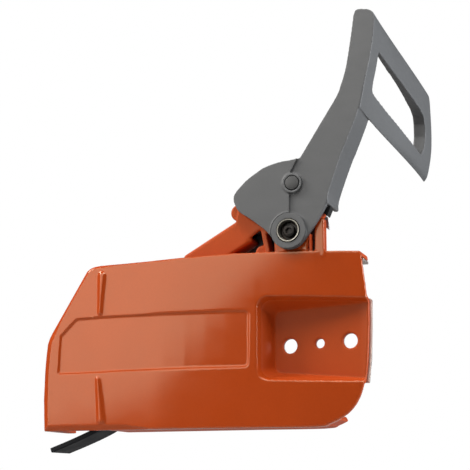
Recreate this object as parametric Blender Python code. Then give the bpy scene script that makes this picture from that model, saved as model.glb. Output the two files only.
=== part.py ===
"""Chainsaw clutch cover with built-in chain brake and hand guard.

Metres, +Z up.  +X points to the front of the saw (along the guide bar), -Y is the outer
side of the cover and +Y the side that lies on the engine.  The origin is the middle of the
two bar-stud holes, on the steel plate's face that clamps the guide bar (Y = 0).
Dimensions below are in millimetres and every shape helper multiplies by MM.
"""

import math

import bmesh
import bpy
from mathutils import Matrix, Vector

MM = 0.001

# ------------------------------------------------------------------ driving dimensions (mm)
STUD_SPACING = 37.0  # centre to centre of the bar studs
STUD_HOLE_R = 4.5
CENTRE_HOLE_R = 2.9
BAR_TILT = math.radians(3.0)  # the stud line rises to the front

FACE_Y = -24.0  # outer face where it is flat
FACE_BEND_X = -100.0  # forward of this the face curves inwards
FACE_BEND_R = 563.0
RIM_Y = 10.0  # edge that meets the engine
WALL = 2.8
PAD_OUT_Y, PAD_IN_Y = -4.4, -1.1  # floor of the nut recess, and its back
PLATE_T = 0.8

TUNNEL_P = (-51.1, 64.8)  # a point on the spring tunnel's axis, X and Z
TUNNEL_SLOPE = math.radians(29.5)
TUNNEL_HALF = 8.1
TUNNEL_BORE_R = 6.0
MECH_Y = -6.5  # plane of the brake mechanism

DRUM = (-81.0, 2.0)  # clutch drum centre, X and Z
BAND_IN_R, BAND_T = 38.0, 1.0
BAND_Y0, BAND_Y1 = -12.5, -0.5

PIVOT = (-14.2, 66.2)  # hand guard pivot, X and Z
DRIVE = (-11.6, 95.1)  # drive pin in the guard, X and Z
LINK_L = 13.0
KNEE_REST = math.radians(-3.0)  # just past centre
KNEE_FIXED_T = 41.0  # fixed pin, along the tunnel axis

PLATE_OUT_Y, PLATE_IN_Y = -18.5, -15.2  # hand guard's side plate
SECTOR_Y = -20.0
SHIELD_END_Y = 152.0

U = (math.cos(TUNNEL_SLOPE), math.sin(TUNNEL_SLOPE))
N = (-U[1], U[0])


def axis_pt(t, n=0.0):
    """X and Z of a point t along the tunnel axis and n above it."""
    return (TUNNEL_P[0] + t * U[0] + n * N[0], TUNNEL_P[1] + t * U[1] + n * N[1])


KNEE_FIXED = axis_pt(KNEE_FIXED_T)
# the middle pin lies LINK_L behind the fixed pin, turned by the rest angle
KNEE_MID = (
    KNEE_FIXED[0] - LINK_L * (U[0] * math.cos(KNEE_REST) - N[0] * math.sin(KNEE_REST)),
    KNEE_FIXED[1] - LINK_L * (U[1] * math.cos(KNEE_REST) - N[1] * math.sin(KNEE_REST)),
)
ROD_PIN_T = KNEE_FIXED_T - 2 * LINK_L * math.cos(KNEE_REST)
ROD_PIN = axis_pt(ROD_PIN_T)
HOOK_T = -46.0
HOOK = axis_pt(HOOK_T)
STUDS = [(s * STUD_SPACING / 2 * math.cos(BAR_TILT), s * STUD_SPACING / 2 * math.sin(BAR_TILT)) for s in (-1, 1)]


def face_y(x):
    """Y of the cover's outer face at X = x."""
    return FACE_Y + (max(0.0, x - FACE_BEND_X) ** 2) / (2 * FACE_BEND_R)


# ------------------------------------------------------------------ scene and materials
for old in list(bpy.data.objects):
    bpy.data.objects.remove(old, do_unlink=True)


def material(name, colour, roughness, metallic=0.0):
    mat = bpy.data.materials.new(name)
    mat.use_nodes = True
    node = next(n for n in mat.node_tree.nodes if n.type == "BSDF_PRINCIPLED")
    node.inputs["Base Color"].default_value = (*colour, 1.0)
    node.inputs["Roughness"].default_value = roughness
    node.inputs["Metallic"].default_value = metallic
    mat.diffuse_color = (*colour, 1.0)
    return mat


ORANGE = material("cover_orange", (0.60, 0.11, 0.02), 0.3)
GREY = material("guard_grey", (0.13, 0.13, 0.135), 0.5)
DARK = material("rubber_dark", (0.05, 0.055, 0.065), 0.7)
BLACK = material("plastic_black", (0.02, 0.02, 0.02), 0.5)
STEEL = material("steel", (0.55, 0.55, 0.53), 0.35, 1.0)
BRIGHT = material("steel_bright", (0.7, 0.69, 0.64), 0.25, 1.0)
DARKSTEEL = material("steel_dark", (0.12, 0.12, 0.12), 0.4, 1.0)
NYLON = material("nylon_pale", (0.75, 0.66, 0.58), 0.55)


# ------------------------------------------------------------------ shape helpers (mm in, metres out)
def finish(name, bm, mat, smooth=None):
    bmesh.ops.recalc_face_normals(bm, faces=bm.faces)
    mesh = bpy.data.meshes.new(name)
    bm.to_mesh(mesh)
    bm.free()
    obj = bpy.data.objects.new(name, mesh)
    bpy.context.scene.collection.objects.link(obj)
    obj.data.materials.append(mat)
    if smooth:
        mesh.shade_smooth()
        mesh.set_sharp_from_angle(angle=math.radians(smooth))
    return obj


def loft(name, rings, mat, smooth=None, closed=False):
    """A closed body through rings of equally many points, capped at both ends or joined round."""
    bm = bmesh.new()
    loops = [[bm.verts.new(Vector(p) * MM) for p in ring] for ring in rings]
    n = len(loops[0])
    pairs = list(zip(loops, loops[1:]))
    if closed:
        pairs.append((loops[-1], loops[0]))
    for a, b in pairs:
        for i in range(n):
            j = (i + 1) % n
            bm.faces.new((a[i], a[j], b[j], b[i]))
    if not closed:
        bm.faces.new(loops[0])
        bm.faces.new(loops[-1])
    return finish(name, bm, mat, smooth)


def prism(name, pts, y0, y1, mat, smooth=None):
    """The X-Z outline pts extruded from y0 to y1."""
    return loft(name, [[(x, y, z) for x, z in pts] for y in (y0, y1)], mat, smooth)


def circle(c, r, n=24, start=0.0):
    return [(c[0] + r * math.cos(start + 2 * math.pi * i / n), c[1] + r * math.sin(start + 2 * math.pi * i / n)) for i in range(n)]


def rod_y(name, c, r, y0, y1, mat, n=24):
    """A round bar along Y through the X-Z point c."""
    return prism(name, circle(c, r, n), y0, y1, mat, 40)


def turned(name, c, profile, mat, n=24):
    """A turned piece about the Y axis through c: profile holds (radius, y) round a closed outline."""
    rings = []
    for i in range(n):
        a = 2 * math.pi * i / n
        rings.append([(c[0] + r * math.cos(a), y, c[1] + r * math.sin(a)) for r, y in profile])
    return loft(name, rings, mat, 40, closed=True)


def bar(name, p, q, r, mat, n=16):
    """A round bar between two points in space."""
    p, q = Vector(p), Vector(q)
    d = (q - p).normalized()
    side = d.cross(Vector((0, 1, 0)) if abs(d.y) < 0.9 else Vector((1, 0, 0))).normalized()
    other = d.cross(side)
    ring = [side * (r * math.cos(2 * math.pi * i / n)) + other * (r * math.sin(2 * math.pi * i / n)) for i in range(n)]
    return loft(name, [[p + v for v in ring], [q + v for v in ring]], mat, 40)


def box(name, lo, hi, mat):
    return prism(name, [(lo[0], lo[2]), (hi[0], lo[2]), (hi[0], hi[2]), (lo[0], hi[2])], lo[1], hi[1], mat)


def axis_box(name, t0, t1, n0, n1, y0, y1, mat):
    """A block whose sides run along the tunnel axis."""
    return prism(name, [axis_pt(t0, n0), axis_pt(t1, n0), axis_pt(t1, n1), axis_pt(t0, n1)], y0, y1, mat)


def boolean(obj, tool, operation):
    """Applies one Boolean to obj and removes the tool."""
    mod = obj.modifiers.new(operation.lower(), "BOOLEAN")
    mod.object = tool
    mod.operation = operation
    mod.solver = "EXACT"
    bpy.context.view_layer.update()
    graph = bpy.context.evaluated_depsgraph_get()
    mesh = bpy.data.meshes.new_from_object(obj.evaluated_get(graph))
    obj.modifiers.remove(mod)
    old = obj.data
    mesh.name = obj.name
    obj.data = mesh
    bpy.data.meshes.remove(old)
    bpy.data.objects.remove(tool, do_unlink=True)


def cut(obj, *tools):
    for tool in tools:
        boolean(obj, tool, "DIFFERENCE")


def join(obj, *tools):
    for tool in tools:
        boolean(obj, tool, "UNION")


def keep(obj, tool):
    boolean(obj, tool, "INTERSECT")


def rounded(pts, radii, steps=4):
    """The polygon with each corner replaced by an arc of its radius (0 keeps the corner)."""
    out = []
    count = len(pts)
    for i, (p, r) in enumerate(zip(pts, radii)):
        if not r:
            out.append(p)
            continue
        p = Vector(p)
        a = (Vector(pts[i - 1]) - p).normalized()
        b = (Vector(pts[(i + 1) % count]) - p).normalized()
        half = a.angle(b) / 2
        d = r / math.tan(half)
        centre = p + (a + b).normalized() * (r / math.sin(half))
        s, e = p + a * d - centre, p + b * d - centre
        total = s.angle_signed(e)
        for k in range(steps + 1):
            ang = -total * k / steps
            out.append((centre.x + s.x * math.cos(ang) - s.y * math.sin(ang), centre.y + s.x * math.sin(ang) + s.y * math.cos(ang)))
    return out


def link_body(name, a, b, half, y0, y1, mat):
    """A flat link with round ends between two X-Z points."""
    a, b = Vector(a), Vector(b)
    d = (b - a).normalized()
    s = Vector((-d.y, d.x))
    base = math.atan2(s.y, s.x)
    pts = [(a.x + half * math.cos(base + math.pi * k / 8), a.y + half * math.sin(base + math.pi * k / 8)) for k in range(9)]
    pts += [(b.x + half * math.cos(base + math.pi + math.pi * k / 8), b.y + half * math.sin(base + math.pi + math.pi * k / 8)) for k in range(9)]
    return prism(name, pts, y0, y1, mat, 30)


def place(obj, origin):
    """Moves the object's origin to a point (mm) without moving its shape."""
    o = Vector(origin) * MM
    obj.data.transform(Matrix.Translation(-o))
    obj.location = o
    return obj


# ------------------------------------------------------------------ clutch cover
OUTLINE = [
    (-171.2, -50.1), (-101.0, -49.9), (-44.0, -49.7), (-0.1, -49.5), (8.2, -47.6), (15.2, -44.1), (20.3, -40.0), (24.6, -33.6),
    (27.5, -24.6), (29.0, -11.3), (29.7, 6.8), (29.75, 25.6), (28.6, 38.5), (26.8, 53.4), (-4.3, 54.1), (-26.2, 54.0),
    (-49.3, 54.1), (-82.5, 53.2), (-108.6, 52.1), (-135.3, 51.4), (-144.2, 49.1), (-168.9, 8.2), (-170.5, 4.2), (-171.9, -14.0), (-172.1, -31.0),
]
INNER = [
    (-167.5, -47.1), (-101.0, -47.0), (-44.0, -46.8), (-0.4, -46.6), (6.8, -45.1), (12.0, -42.6), (14.6, -47.4), (20.0, -62.0), (60.0, -62.0),
    (60.0, 50.2), (26.8, 50.5), (-4.0, 51.3), (-26.2, 51.2), (-49.3, 51.3), (-82.5, 50.4), (-108.6, 49.3), (-134.6, 48.6),
    (-141.2, 46.5), (-165.3, 6.9), (-166.9, 3.3),
]


def inset_polygon(pts, amount):
    """The closed X-Z polygon, anticlockwise, with each corner moved in by amount(corner)."""
    out = []
    for i, p in enumerate(pts):
        a, b = Vector(pts[i - 1]), Vector(pts[(i + 1) % len(pts)])
        t1, t2 = (Vector(p) - a).normalized(), (b - Vector(p)).normalized()
        n1, n2 = Vector((-t1.y, t1.x)), Vector((-t2.y, t2.x))
        m = (n1 + n2).normalized()
        k = amount(p) / max(0.5, m.dot(n1))
        out.append((p[0] + m.x * k, p[1] + m.y * k))
    return out


def bevel_amount(p):
    """Width of the bevel between the outer face and the side walls: broad along the rear, fine elsewhere."""
    if p[0] < -160:
        return 3.1
    return 1.8 if p[0] < -142.5 else 0.5


def face_solid(name, offset, y_end):
    """Everything behind the outer face moved in by offset, up to y_end."""
    xs = [-200.0, FACE_BEND_X] + [FACE_BEND_X + (140.0 * k / 9) for k in range(1, 10)] + [70.0]
    profile = [(x, face_y(min(x, 60.0)) + offset) for x in xs] + [(70.0, y_end), (-200.0, y_end)]
    return loft(name, [[(x, y, z) for x, y in profile] for z in (-90.0, 130.0)], ORANGE)


edge = [inset_polygon(OUTLINE, lambda p: bevel_amount(p) * 3.5), OUTLINE, OUTLINE]
cover = loft("clutch_cover", [[(x, y, z) for x, z in ring] for ring, y in zip(edge, (FACE_Y - 4, FACE_Y + 1.6, RIM_Y))], ORANGE)
keep(cover, face_solid("t", 0.0, 40.0))
hollow = prism("t", INNER, FACE_Y - 4, RIM_Y + 4, ORANGE)
keep(hollow, face_solid("t2", WALL, 40.0))
cut(cover, hollow)


def recess_ring(y, grow):
    """Outline of the nut recess at depth y, moved outwards by grow; it is open to the front."""
    f = (PAD_OUT_Y - y) / 14.6
    left = -27.7 - 6.1 * f - grow
    top_a, top_b = 20.2 + 7.0 * f + grow, 23.4 + 6.6 * f + grow
    bot_a, bot_b = -16.9 - 4.6 * f - grow, -21.8 - 3.4 * f - grow
    r = 5.0 + 2.0 * f + grow * 0.5
    front = 60.0
    slope_t = (top_b - top_a) / 58.0
    slope_b = (bot_b - bot_a) / 58.0
    pts = [(left, bot_a), (front, bot_a + slope_b * (front - left)), (front, top_a + slope_t * (front - left)), (left, top_a)]
    return [(x, y, z) for x, z in rounded(pts, [r, 0, 0, r])]


tray = loft("t", [recess_ring(y, 2.8) for y in (FACE_Y - 4, PAD_IN_Y)], ORANGE)
keep(tray, prism("t2", [(-60.0, -45.0), (20.4, -38.3), (27.0, -25.5), (28.8, -12.0), (29.6, 1.0), (30.1, 12.0), (30.1, 25.6), (28.6, 37.5), (26.6, 48.0), (-60.0, 48.0)], FACE_Y - 6, RIM_Y, ORANGE))
keep(tray, face_solid("t2", 0.9, 40.0))
join(cover, tray)

# brake band guide, stiffening ribs and dowels inside
arc = [(DRUM[0] + r * math.cos(math.radians(a)), DRUM[1] + r * math.sin(math.radians(a))) for r, seq in ((45.2, range(146, 261, 10)), (43.0, range(256, 145, -10))) for a in seq]
join(cover, prism("t", arc, FACE_Y + 1.5, -1.0, ORANGE))
for x in (-156.0, -141.0):
    join(cover, box("t", (x - 0.9, FACE_Y + 1.5, -20.0), (x + 0.9, -15.5, 47.8 if x > -145 else 24.4), ORANGE))
join(cover, box("t", (-160.0, FACE_Y + 1.5, 17.1), (-122.5, -15.5, 18.9), ORANGE))
join(cover, box("t", (-168.4, FACE_Y + 1.5, -10.9), (-124.0, -15.5, -9.1), ORANGE))
for c in ((-160.4, 3.0), (-128.0, 43.6)):
    join(cover, rod_y("t", c, 4.2, FACE_Y + 1.5, 7.0, ORANGE, 20))

# neck: outer web, walls, spring tunnel, pedestal, posts and lugs
WEB = [
    axis_pt(6.0, -6.0), axis_pt(6.0, 7.0), (-47.0, 84.5), (-36.0, 95.0), (-21.0, 95.0), (-17.6, 92.0), (-12.0, 91.6), (-7.0, 90.4), (-2.0, 87.0),
    (2.2, 82.4), (6.2, 80.9), (4.3, 76.4), (-3.0, 70.0), (-3.6, 58.0), (-24.5, 58.0), (-25.0, 64.0), (-33.0, 69.5),
]
join(cover, prism("t", WEB, -14.8, -12.4, ORANGE))
join(cover, prism("t", [(-50.0, 80.0), (-48.0, 84.5), (-36.0, 95.0), (-20.0, 95.0), (-20.0, 92.8), (-35.2, 92.8), (-46.2, 83.0), (-46.4, 77.0)], -13.4, -2.4, ORANGE))
join(cover, prism("t", [(2.2, 82.4), (6.2, 80.9), (4.3, 76.4), (0.0, 72.0), (-1.8, 73.6), (1.6, 77.4), (2.0, 79.0), (-0.6, 81.2)], -13.4, -2.4, ORANGE))
join(cover, prism("t", [(-24.5, 50.5), (-4.0, 50.5), (-4.0, 66.0), (-24.5, 66.0)], -14.8, -2.4, ORANGE))
join(cover, rod_y("t", PIVOT, 9.0, -14.8, -2.4, ORANGE, 28))
join(cover, prism("t", [(-33.4, 69.6), (-30.4, 69.6), (-26.6, 50.5), (-29.6, 50.5)], -14.6, -3.0, ORANGE))
join(cover, rod_y("t", (-32.6, 55.0), 4.4, -13.4, -2.4, ORANGE, 20))
join(cover, prism("t", [(0.4, 50.5), (6.2, 50.5), (6.2, 73.4), (3.6, 74.4), (0.4, 71.0)], -14.4, -7.6, ORANGE))
tunnel = axis_box("t", -33.0, 10.0, -TUNNEL_HALF, TUNNEL_HALF, MECH_Y - TUNNEL_HALF, MECH_Y + TUNNEL_HALF, ORANGE)
bev = tunnel.modifiers.new("round", "BEVEL")
bev.width, bev.segments, bev.limit_method, bev.angle_limit = 1.6 * MM, 2, "ANGLE", math.radians(50)
join(cover, tunnel)
join(cover, rod_y("t", (-47.6, 80.8), 5.2, -13.4, -4.0, ORANGE, 20))

# recess, holes, sunken panel, tapered ribs
cut(cover, loft("t", [recess_ring(y, 0.0) for y in (FACE_Y - 6, PAD_OUT_Y)], ORANGE))
for c in STUDS:
    cut(cover, rod_y("t", c, STUD_HOLE_R, -12, 4, ORANGE))
cut(cover, rod_y("t", (0, 0), CENTRE_HOLE_R, -12, 4, ORANGE, 20))
panel_top = [(-161.2, 8.0), (-150.6, 18.2), (-140.0, 18.8), (-118.0, 19.2), (-92.0, 19.4), (-66.0, 19.4), (-40.4, 19.2), (-38.6, 17.6)]
panel_bot = [(-162.2, -15.2), (-150.6, -15.3), (-140.0, -15.1), (-118.0, -14.6), (-92.0, -14.3), (-66.0, -14.2), (-42.0, -14.2), (-39.6, -12.4)]
rings = [
    [(xb, FACE_Y - 6, zb), (xt, FACE_Y - 6, zt), (xt, face_y(xt) + 0.8, zt), (xb, face_y(xb) + 0.8, zb)]
    for (xt, zt), (xb, zb) in zip(panel_top, panel_bot)
]
cut(cover, loft("t", rings, ORANGE))
for (xa, za, wa), (xb, zb, wb) in (((-133.4, 47.2, 2.1), (-134.3, 20.9, 0.7)), ((-134.8, -18.2, 0.7), (-132.2, -46.2, 2.1))):
    top = [(xa - wa, za), (xa + wa, za), (xb + wb, zb), (xb - wb, zb)]
    low = [(xa - wa - 0.8, za + math.copysign(0.8, za - zb)), (xa + wa + 0.8, za + math.copysign(0.8, za - zb)), (xb + wb + 0.6, zb - math.copysign(1.0, za - zb)), (xb - wb - 0.6, zb - math.copysign(1.0, za - zb))]
    join(cover, loft("t", [[(x, FACE_Y - 1.3, z) for x, z in top], [(x, FACE_Y + 1.0, z) for x, z in low]], ORANGE))

# tunnel bore, mechanism openings, pin and screw holes
bore_y = MECH_Y
cut(cover, bar("t", (*[axis_pt(-30.0)[0]], bore_y, axis_pt(-30.0)[1]), (axis_pt(11.0)[0], bore_y, axis_pt(11.0)[1]), TUNNEL_BORE_R, ORANGE, 20))
cut(cover, bar("t", (axis_pt(-36.0)[0], bore_y, axis_pt(-36.0)[1]), (axis_pt(-28.0)[0], bore_y, axis_pt(-28.0)[1]), 2.7, ORANGE, 16))
cut(cover, rod_y("t", KNEE_FIXED, 2.3, -20, -10, ORANGE, 16))
cut(cover, rod_y("t", PIVOT, 2.4, -20, -5.0, ORANGE, 16))
MECH_SCREWS = [(-31.4, 58.4), (-34.6, 91.0), (-20.5, 58.4)]
join(cover, rod_y("t", MECH_SCREWS[0], 3.5, -9.0, -2.4, ORANGE, 16))
join(cover, rod_y("t", MECH_SCREWS[1], 3.4, -13.4, -2.4, ORANGE, 16))
for c in MECH_SCREWS:
    cut(cover, rod_y("t", c, 1.6, -9.0, 0.0, ORANGE, 12))
PLATE_RIVETS = [(-23.8, 17.0), (-24.0, -14.0), (23.8, 20.4), (23.2, -18.0)]
for c in PLATE_RIVETS:
    cut(cover, rod_y("t", c, 1.8, -3.2, 2.0, ORANGE, 12))

# chip outlet in the bottom wall, and the ramp that carries the rubber flap
cut(cover, box("t", (-165.0, -19.6, -58.0), (-129.2, RIM_Y + 4, -45.5), ORANGE))
FLAP = [(-168.0, -61.6), (-156.0, -57.2), (-145.0, -52.8), (-137.5, -49.4), (-133.2, -46.8), (-129.4, -43.4), (-120.6, -35.2)]


def offset_line(line, d):
    """The X-Z polyline moved d to its left."""
    out = []
    for i, p in enumerate(line):
        a = Vector(line[max(0, i - 1)])
        b = Vector(line[min(len(line) - 1, i + 1)])
        t = (b - a).normalized()
        out.append((p[0] - t.y * d, p[1] + t.x * d))
    return out


ramp_dir = (Vector(FLAP[-1]) - Vector(FLAP[-2])).normalized()
ramp_nrm = Vector((-ramp_dir.y, ramp_dir.x))


def ramp_pt(s, d):
    """X and Z of a point s along the ramp from its foot and d above the flap's middle."""
    p = Vector(FLAP[-2]) + ramp_dir * s + ramp_nrm * d
    return (p.x, p.y)


join(cover, prism("t", [ramp_pt(-1.0, -4.3), ramp_pt(12.0, -4.3), ramp_pt(12.0, -1.8), ramp_pt(-1.0, -1.8)], FACE_Y + 1.5, 6.0, ORANGE))
join(cover, prism("t", [(-129.0, -49.6), (-121.0, -49.6), ramp_pt(3.5, -4.0), ramp_pt(-0.8, -2.2)], FACE_Y + 1.5, 6.0, ORANGE))
FLAP_SCREW_S, FLAP_SCREW_Y = 7.5, (-13.0, -1.0)
for y in FLAP_SCREW_Y:
    a, b = ramp_pt(FLAP_SCREW_S, -7.0), ramp_pt(FLAP_SCREW_S, 0.0)
    cut(cover, bar("t", (a[0], y, a[1]), (b[0], y, b[1]), 1.8, ORANGE, 12))

# holes for the screws of the wear strip and the guide strip
WEAR_SCREW_X, GUIDE_SCREW_X, STRIP_SCREW_Y = (-30.0, -4.0), (-16.0, 12.0), 3.0
for x in WEAR_SCREW_X:
    cut(cover, bar("t", (x, STRIP_SCREW_Y, -56.0), (x, STRIP_SCREW_Y, -44.0), 1.6, ORANGE, 12))
for x in GUIDE_SCREW_X:
    cut(cover, bar("t", (x, STRIP_SCREW_Y, 49.0), (x, STRIP_SCREW_Y, 58.0), 1.6, ORANGE, 12))
# band anchor boss
ANCHOR_A = math.radians(59.0)
ANCHOR = (DRUM[0] + 41.8 * math.cos(ANCHOR_A), DRUM[1] + 41.8 * math.sin(ANCHOR_A))
join(cover, rod_y("t", ANCHOR, 4.0, face_y(-60) + 1.5, -13.2, ORANGE, 16))
cut(cover, rod_y("t", ANCHOR, 1.8, -18.0, -10.0, ORANGE, 12))
cover.data.set_sharp_from_angle(angle=math.radians(35))

# ------------------------------------------------------------------ plates, strips and their fasteners
side_plate = prism(
    "bar_side_plate",
    rounded([(-29.0, -20.5), (29.0, -24.0), (30.6, -10.0), (31.3, 7.0), (31.7, 26.0), (-29.0, 23.0)], [4, 0.6, 0, 0, 2, 4], 3),
    -PLATE_T, 0.0, STEEL,
)
for c in STUDS:
    cut(side_plate, rod_y("t", c, STUD_HOLE_R, -3, 3, STEEL))
cut(side_plate, rod_y("t", (0, 0), CENTRE_HOLE_R, -3, 3, STEEL, 20))
for i, c in enumerate(PLATE_RIVETS):
    cut(side_plate, rod_y("t", c, 1.8, -3, 3, STEEL, 12))
    rod_y(f"side_plate_rivet_{i + 1}", c, 1.5, -3.0, 0.0, STEEL, 12)

strip_low = [(-44.0, -46.4), (-0.6, -46.2), (5.0, -44.2), (10.0, -41.2), (15.2, -38.9)]
strip_top = offset_line(strip_low, 1.9)
wear = prism("wear_strip", strip_low + strip_top[::-1], -4.0, 8.4, NYLON)
for i, x in enumerate(WEAR_SCREW_X):
    cut(wear, bar("t", (x, STRIP_SCREW_Y, -48.0), (x, STRIP_SCREW_Y, -43.0), 1.6, NYLON, 12))
    screw = bar(f"wear_strip_screw_{i + 1}", (x, STRIP_SCREW_Y, -49.6), (x, STRIP_SCREW_Y, -44.2), 1.3, STEEL, 12)
    join(screw, bar("t", (x, STRIP_SCREW_Y, -44.3), (x, STRIP_SCREW_Y, -42.6), 2.8, STEEL, 12))
guide = box("guide_strip", (-34.0, -4.0, 48.2), (27.4, 9.4, 49.9), STEEL)
for i, x in enumerate(GUIDE_SCREW_X):
    cut(guide, bar("t", (x, STRIP_SCREW_Y, 46.0), (x, STRIP_SCREW_Y, 52.0), 1.6, STEEL, 12))
    screw = bar(f"guide_strip_screw_{i + 1}", (x, STRIP_SCREW_Y, 47.7), (x, STRIP_SCREW_Y, 53.4), 1.3, STEEL, 12)
    join(screw, bar("t", (x, STRIP_SCREW_Y, 46.2), (x, STRIP_SCREW_Y, 47.85), 2.8, STEEL, 12))

# ------------------------------------------------------------------ chip flap
flap = prism("chip_deflector", offset_line(FLAP, -1.5) + offset_line(FLAP, 1.5)[::-1], -19.2, 5.4, DARK)
clamp = prism("deflector_clamp", [ramp_pt(2.0, 1.8), ramp_pt(11.4, 1.8), ramp_pt(11.4, 3.4), ramp_pt(2.0, 3.4)], -18.6, 4.8, STEEL)
for i, y in enumerate(FLAP_SCREW_Y):
    a, b = ramp_pt(FLAP_SCREW_S, -7.0), ramp_pt(FLAP_SCREW_S, 7.0)
    for piece in (flap, clamp):
        cut(piece, bar("t", (a[0], y, a[1]), (b[0], y, b[1]), 1.8, DARK, 12))
    a, b, c = ramp_pt(FLAP_SCREW_S, -3.9), ramp_pt(FLAP_SCREW_S, 3.8), ramp_pt(FLAP_SCREW_S, 5.6)
    screw = bar(f"deflector_screw_{i + 1}", (a[0], y, a[1]), (b[0], y, b[1]), 1.4, STEEL, 12)
    a = ramp_pt(FLAP_SCREW_S, 3.7)
    join(screw, bar("t", (a[0], y, a[1]), (c[0], y, c[1]), 3.0, STEEL, 12))

# ------------------------------------------------------------------ brake band, rod and spring
TANGENT_A = math.atan2(N[1], N[0])
arc_out, arc_in = [], []
STEPS = 44
for k in range(STEPS + 1):
    a = TANGENT_A + (2 * math.pi - TANGENT_A + ANCHOR_A) * k / STEPS
    arc_out.append((DRUM[0] + (BAND_IN_R + BAND_T) * math.cos(a), DRUM[1] + (BAND_IN_R + BAND_T) * math.sin(a)))
    arc_in.append((DRUM[0] + BAND_IN_R * math.cos(a), DRUM[1] + BAND_IN_R * math.sin(a)))
# the moving end runs straight along the rod, the fixed end out to its anchor pin
t_c = (DRUM[0] - TUNNEL_P[0]) * U[0] + (DRUM[1] - TUNNEL_P[1]) * U[1]
n_c = (DRUM[0] - TUNNEL_P[0]) * N[0] + (DRUM[1] - TUNNEL_P[1]) * N[1]
tab_out = axis_pt(HOOK_T + 0.5, n_c + BAND_IN_R + BAND_T)
tab_in = axis_pt(HOOK_T + 0.5, n_c + BAND_IN_R)
band = prism("brake_band", [tab_out] + arc_out + arc_in[::-1] + [tab_in], BAND_Y0, BAND_Y1, STEEL, 30)
join(band, rod_y("t", HOOK, 3.2, BAND_Y0, BAND_Y1, STEEL, 20))
join(band, rod_y("t", ANCHOR, 3.4, BAND_Y0, BAND_Y1, STEEL, 20))
cut(band, rod_y("t", HOOK, 1.8, -14, 2, STEEL, 12))
cut(band, rod_y("t", ANCHOR, 1.8, -14, 2, STEEL, 12))
cut(band, axis_box("t", HOOK_T - 3.7, HOOK_T + 6.0, -3.7, 3.7, -8.6, -4.4, STEEL))
rod_y("band_anchor_pin", ANCHOR, 1.5, -16.5, 0.2, BRIGHT, 12)
place(rod_y("band_hook_pin", HOOK, 1.5, -12.9, -0.1, BRIGHT, 12), (HOOK[0], MECH_Y, HOOK[1]))


def ax3(t, n=0.0, y=MECH_Y):
    p = axis_pt(t, n)
    return (p[0], y, p[1])


rod = bar("pull_rod", ax3(HOOK_T + 2.4), ax3(7.4), 2.0, BRIGHT, 16)
join(rod, rod_y("t", HOOK, 3.1, -8.2, -4.8, BRIGHT, 20))
cut(rod, rod_y("t", HOOK, 1.8, -14, 2, BRIGHT, 12))
place(rod, ax3(0.0))

collar = bar("spring_collar", ax3(2.0), ax3(5.4), 5.3, DARKSTEEL, 24)
join(collar, link_body("t", axis_pt(6.6), ROD_PIN, 3.6, -10.0, -3.0, DARKSTEEL))
cut(collar, axis_box("t", 9.4, ROD_PIN_T + 6, -8, 8, -7.8, -5.2, DARKSTEEL))
cut(collar, rod_y("t", ROD_PIN, 1.8, -14, 2, DARKSTEEL, 12))
cut(collar, bar("t", ax3(1.0), ax3(7.9), 2.3, DARKSTEEL, 16))
place(collar, ax3(0.0))
place(rod_y("rod_pin", ROD_PIN, 1.5, -10.6, -2.7, BRIGHT, 12), (ROD_PIN[0], MECH_Y, ROD_PIN[1]))

SEAT_T0, SEAT_T1 = -29.7, -28.5
seat = bar("spring_seat", ax3(SEAT_T0), ax3(SEAT_T1), 5.6, STEEL, 20)
cut(seat, bar("t", ax3(SEAT_T0 - 1), ax3(SEAT_T1 + 1), 2.7, STEEL, 16))

WIRE_R, COIL_R, COIL_TURNS = 0.95, 4.45, 8
COIL_T0, COIL_T1 = SEAT_T1 + 0.3 + WIRE_R, 2.0 - 0.3 - WIRE_R
coil = []
count = COIL_TURNS * 14
for k in range(count + 1):
    a = 2 * math.pi * COIL_TURNS * k / count
    t = COIL_T0 + (COIL_T1 - COIL_T0) * k / count
    centre = Vector(ax3(t, COIL_R * math.sin(a), MECH_Y + COIL_R * math.cos(a)))
    radial = Vector((N[0] * math.sin(a), math.cos(a), N[1] * math.sin(a)))
    along = Vector((U[0], 0.0, U[1]))
    coil.append([centre + radial * (WIRE_R * math.cos(b)) + along * (WIRE_R * math.sin(b)) for b in [math.pi * j / 3 for j in range(6)]])
loft("brake_spring", coil, STEEL, 50)

# ------------------------------------------------------------------ knee joint
drive_v = Vector(DRIVE) - Vector(KNEE_FIXED)
fork_dir = drive_v.normalized()
fork_side = Vector((-fork_dir.y, fork_dir.x))


def fork_pt(s, d):
    p = Vector(KNEE_FIXED) + fork_dir * s + fork_side * d
    return (p.x, p.y)


crank = link_body("knee_crank", KNEE_FIXED, KNEE_MID, 3.9, -10.0, -7.8, STEEL)
join(crank, rod_y("t", KNEE_FIXED, 5.0, -10.0, -7.8, STEEL, 24))
join(crank, prism("t", [fork_pt(0, -5.0), fork_pt(16.0, -5.0), fork_pt(17.0, -4.2), fork_pt(17.0, 4.2), fork_pt(16.0, 5.0), fork_pt(0, 5.0)], -10.0, -7.8, STEEL))
cut(crank, link_body("t", fork_pt(10.2, 0.0), fork_pt(24.0, 0.0), 2.75, -12, -4, STEEL))
cut(crank, rod_y("t", KNEE_FIXED, 2.3, -12, -4, STEEL, 16))
cut(crank, rod_y("t", KNEE_MID, 1.8, -12, -4, STEEL, 12))
place(crank, (KNEE_FIXED[0], MECH_Y, KNEE_FIXED[1]))

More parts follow.
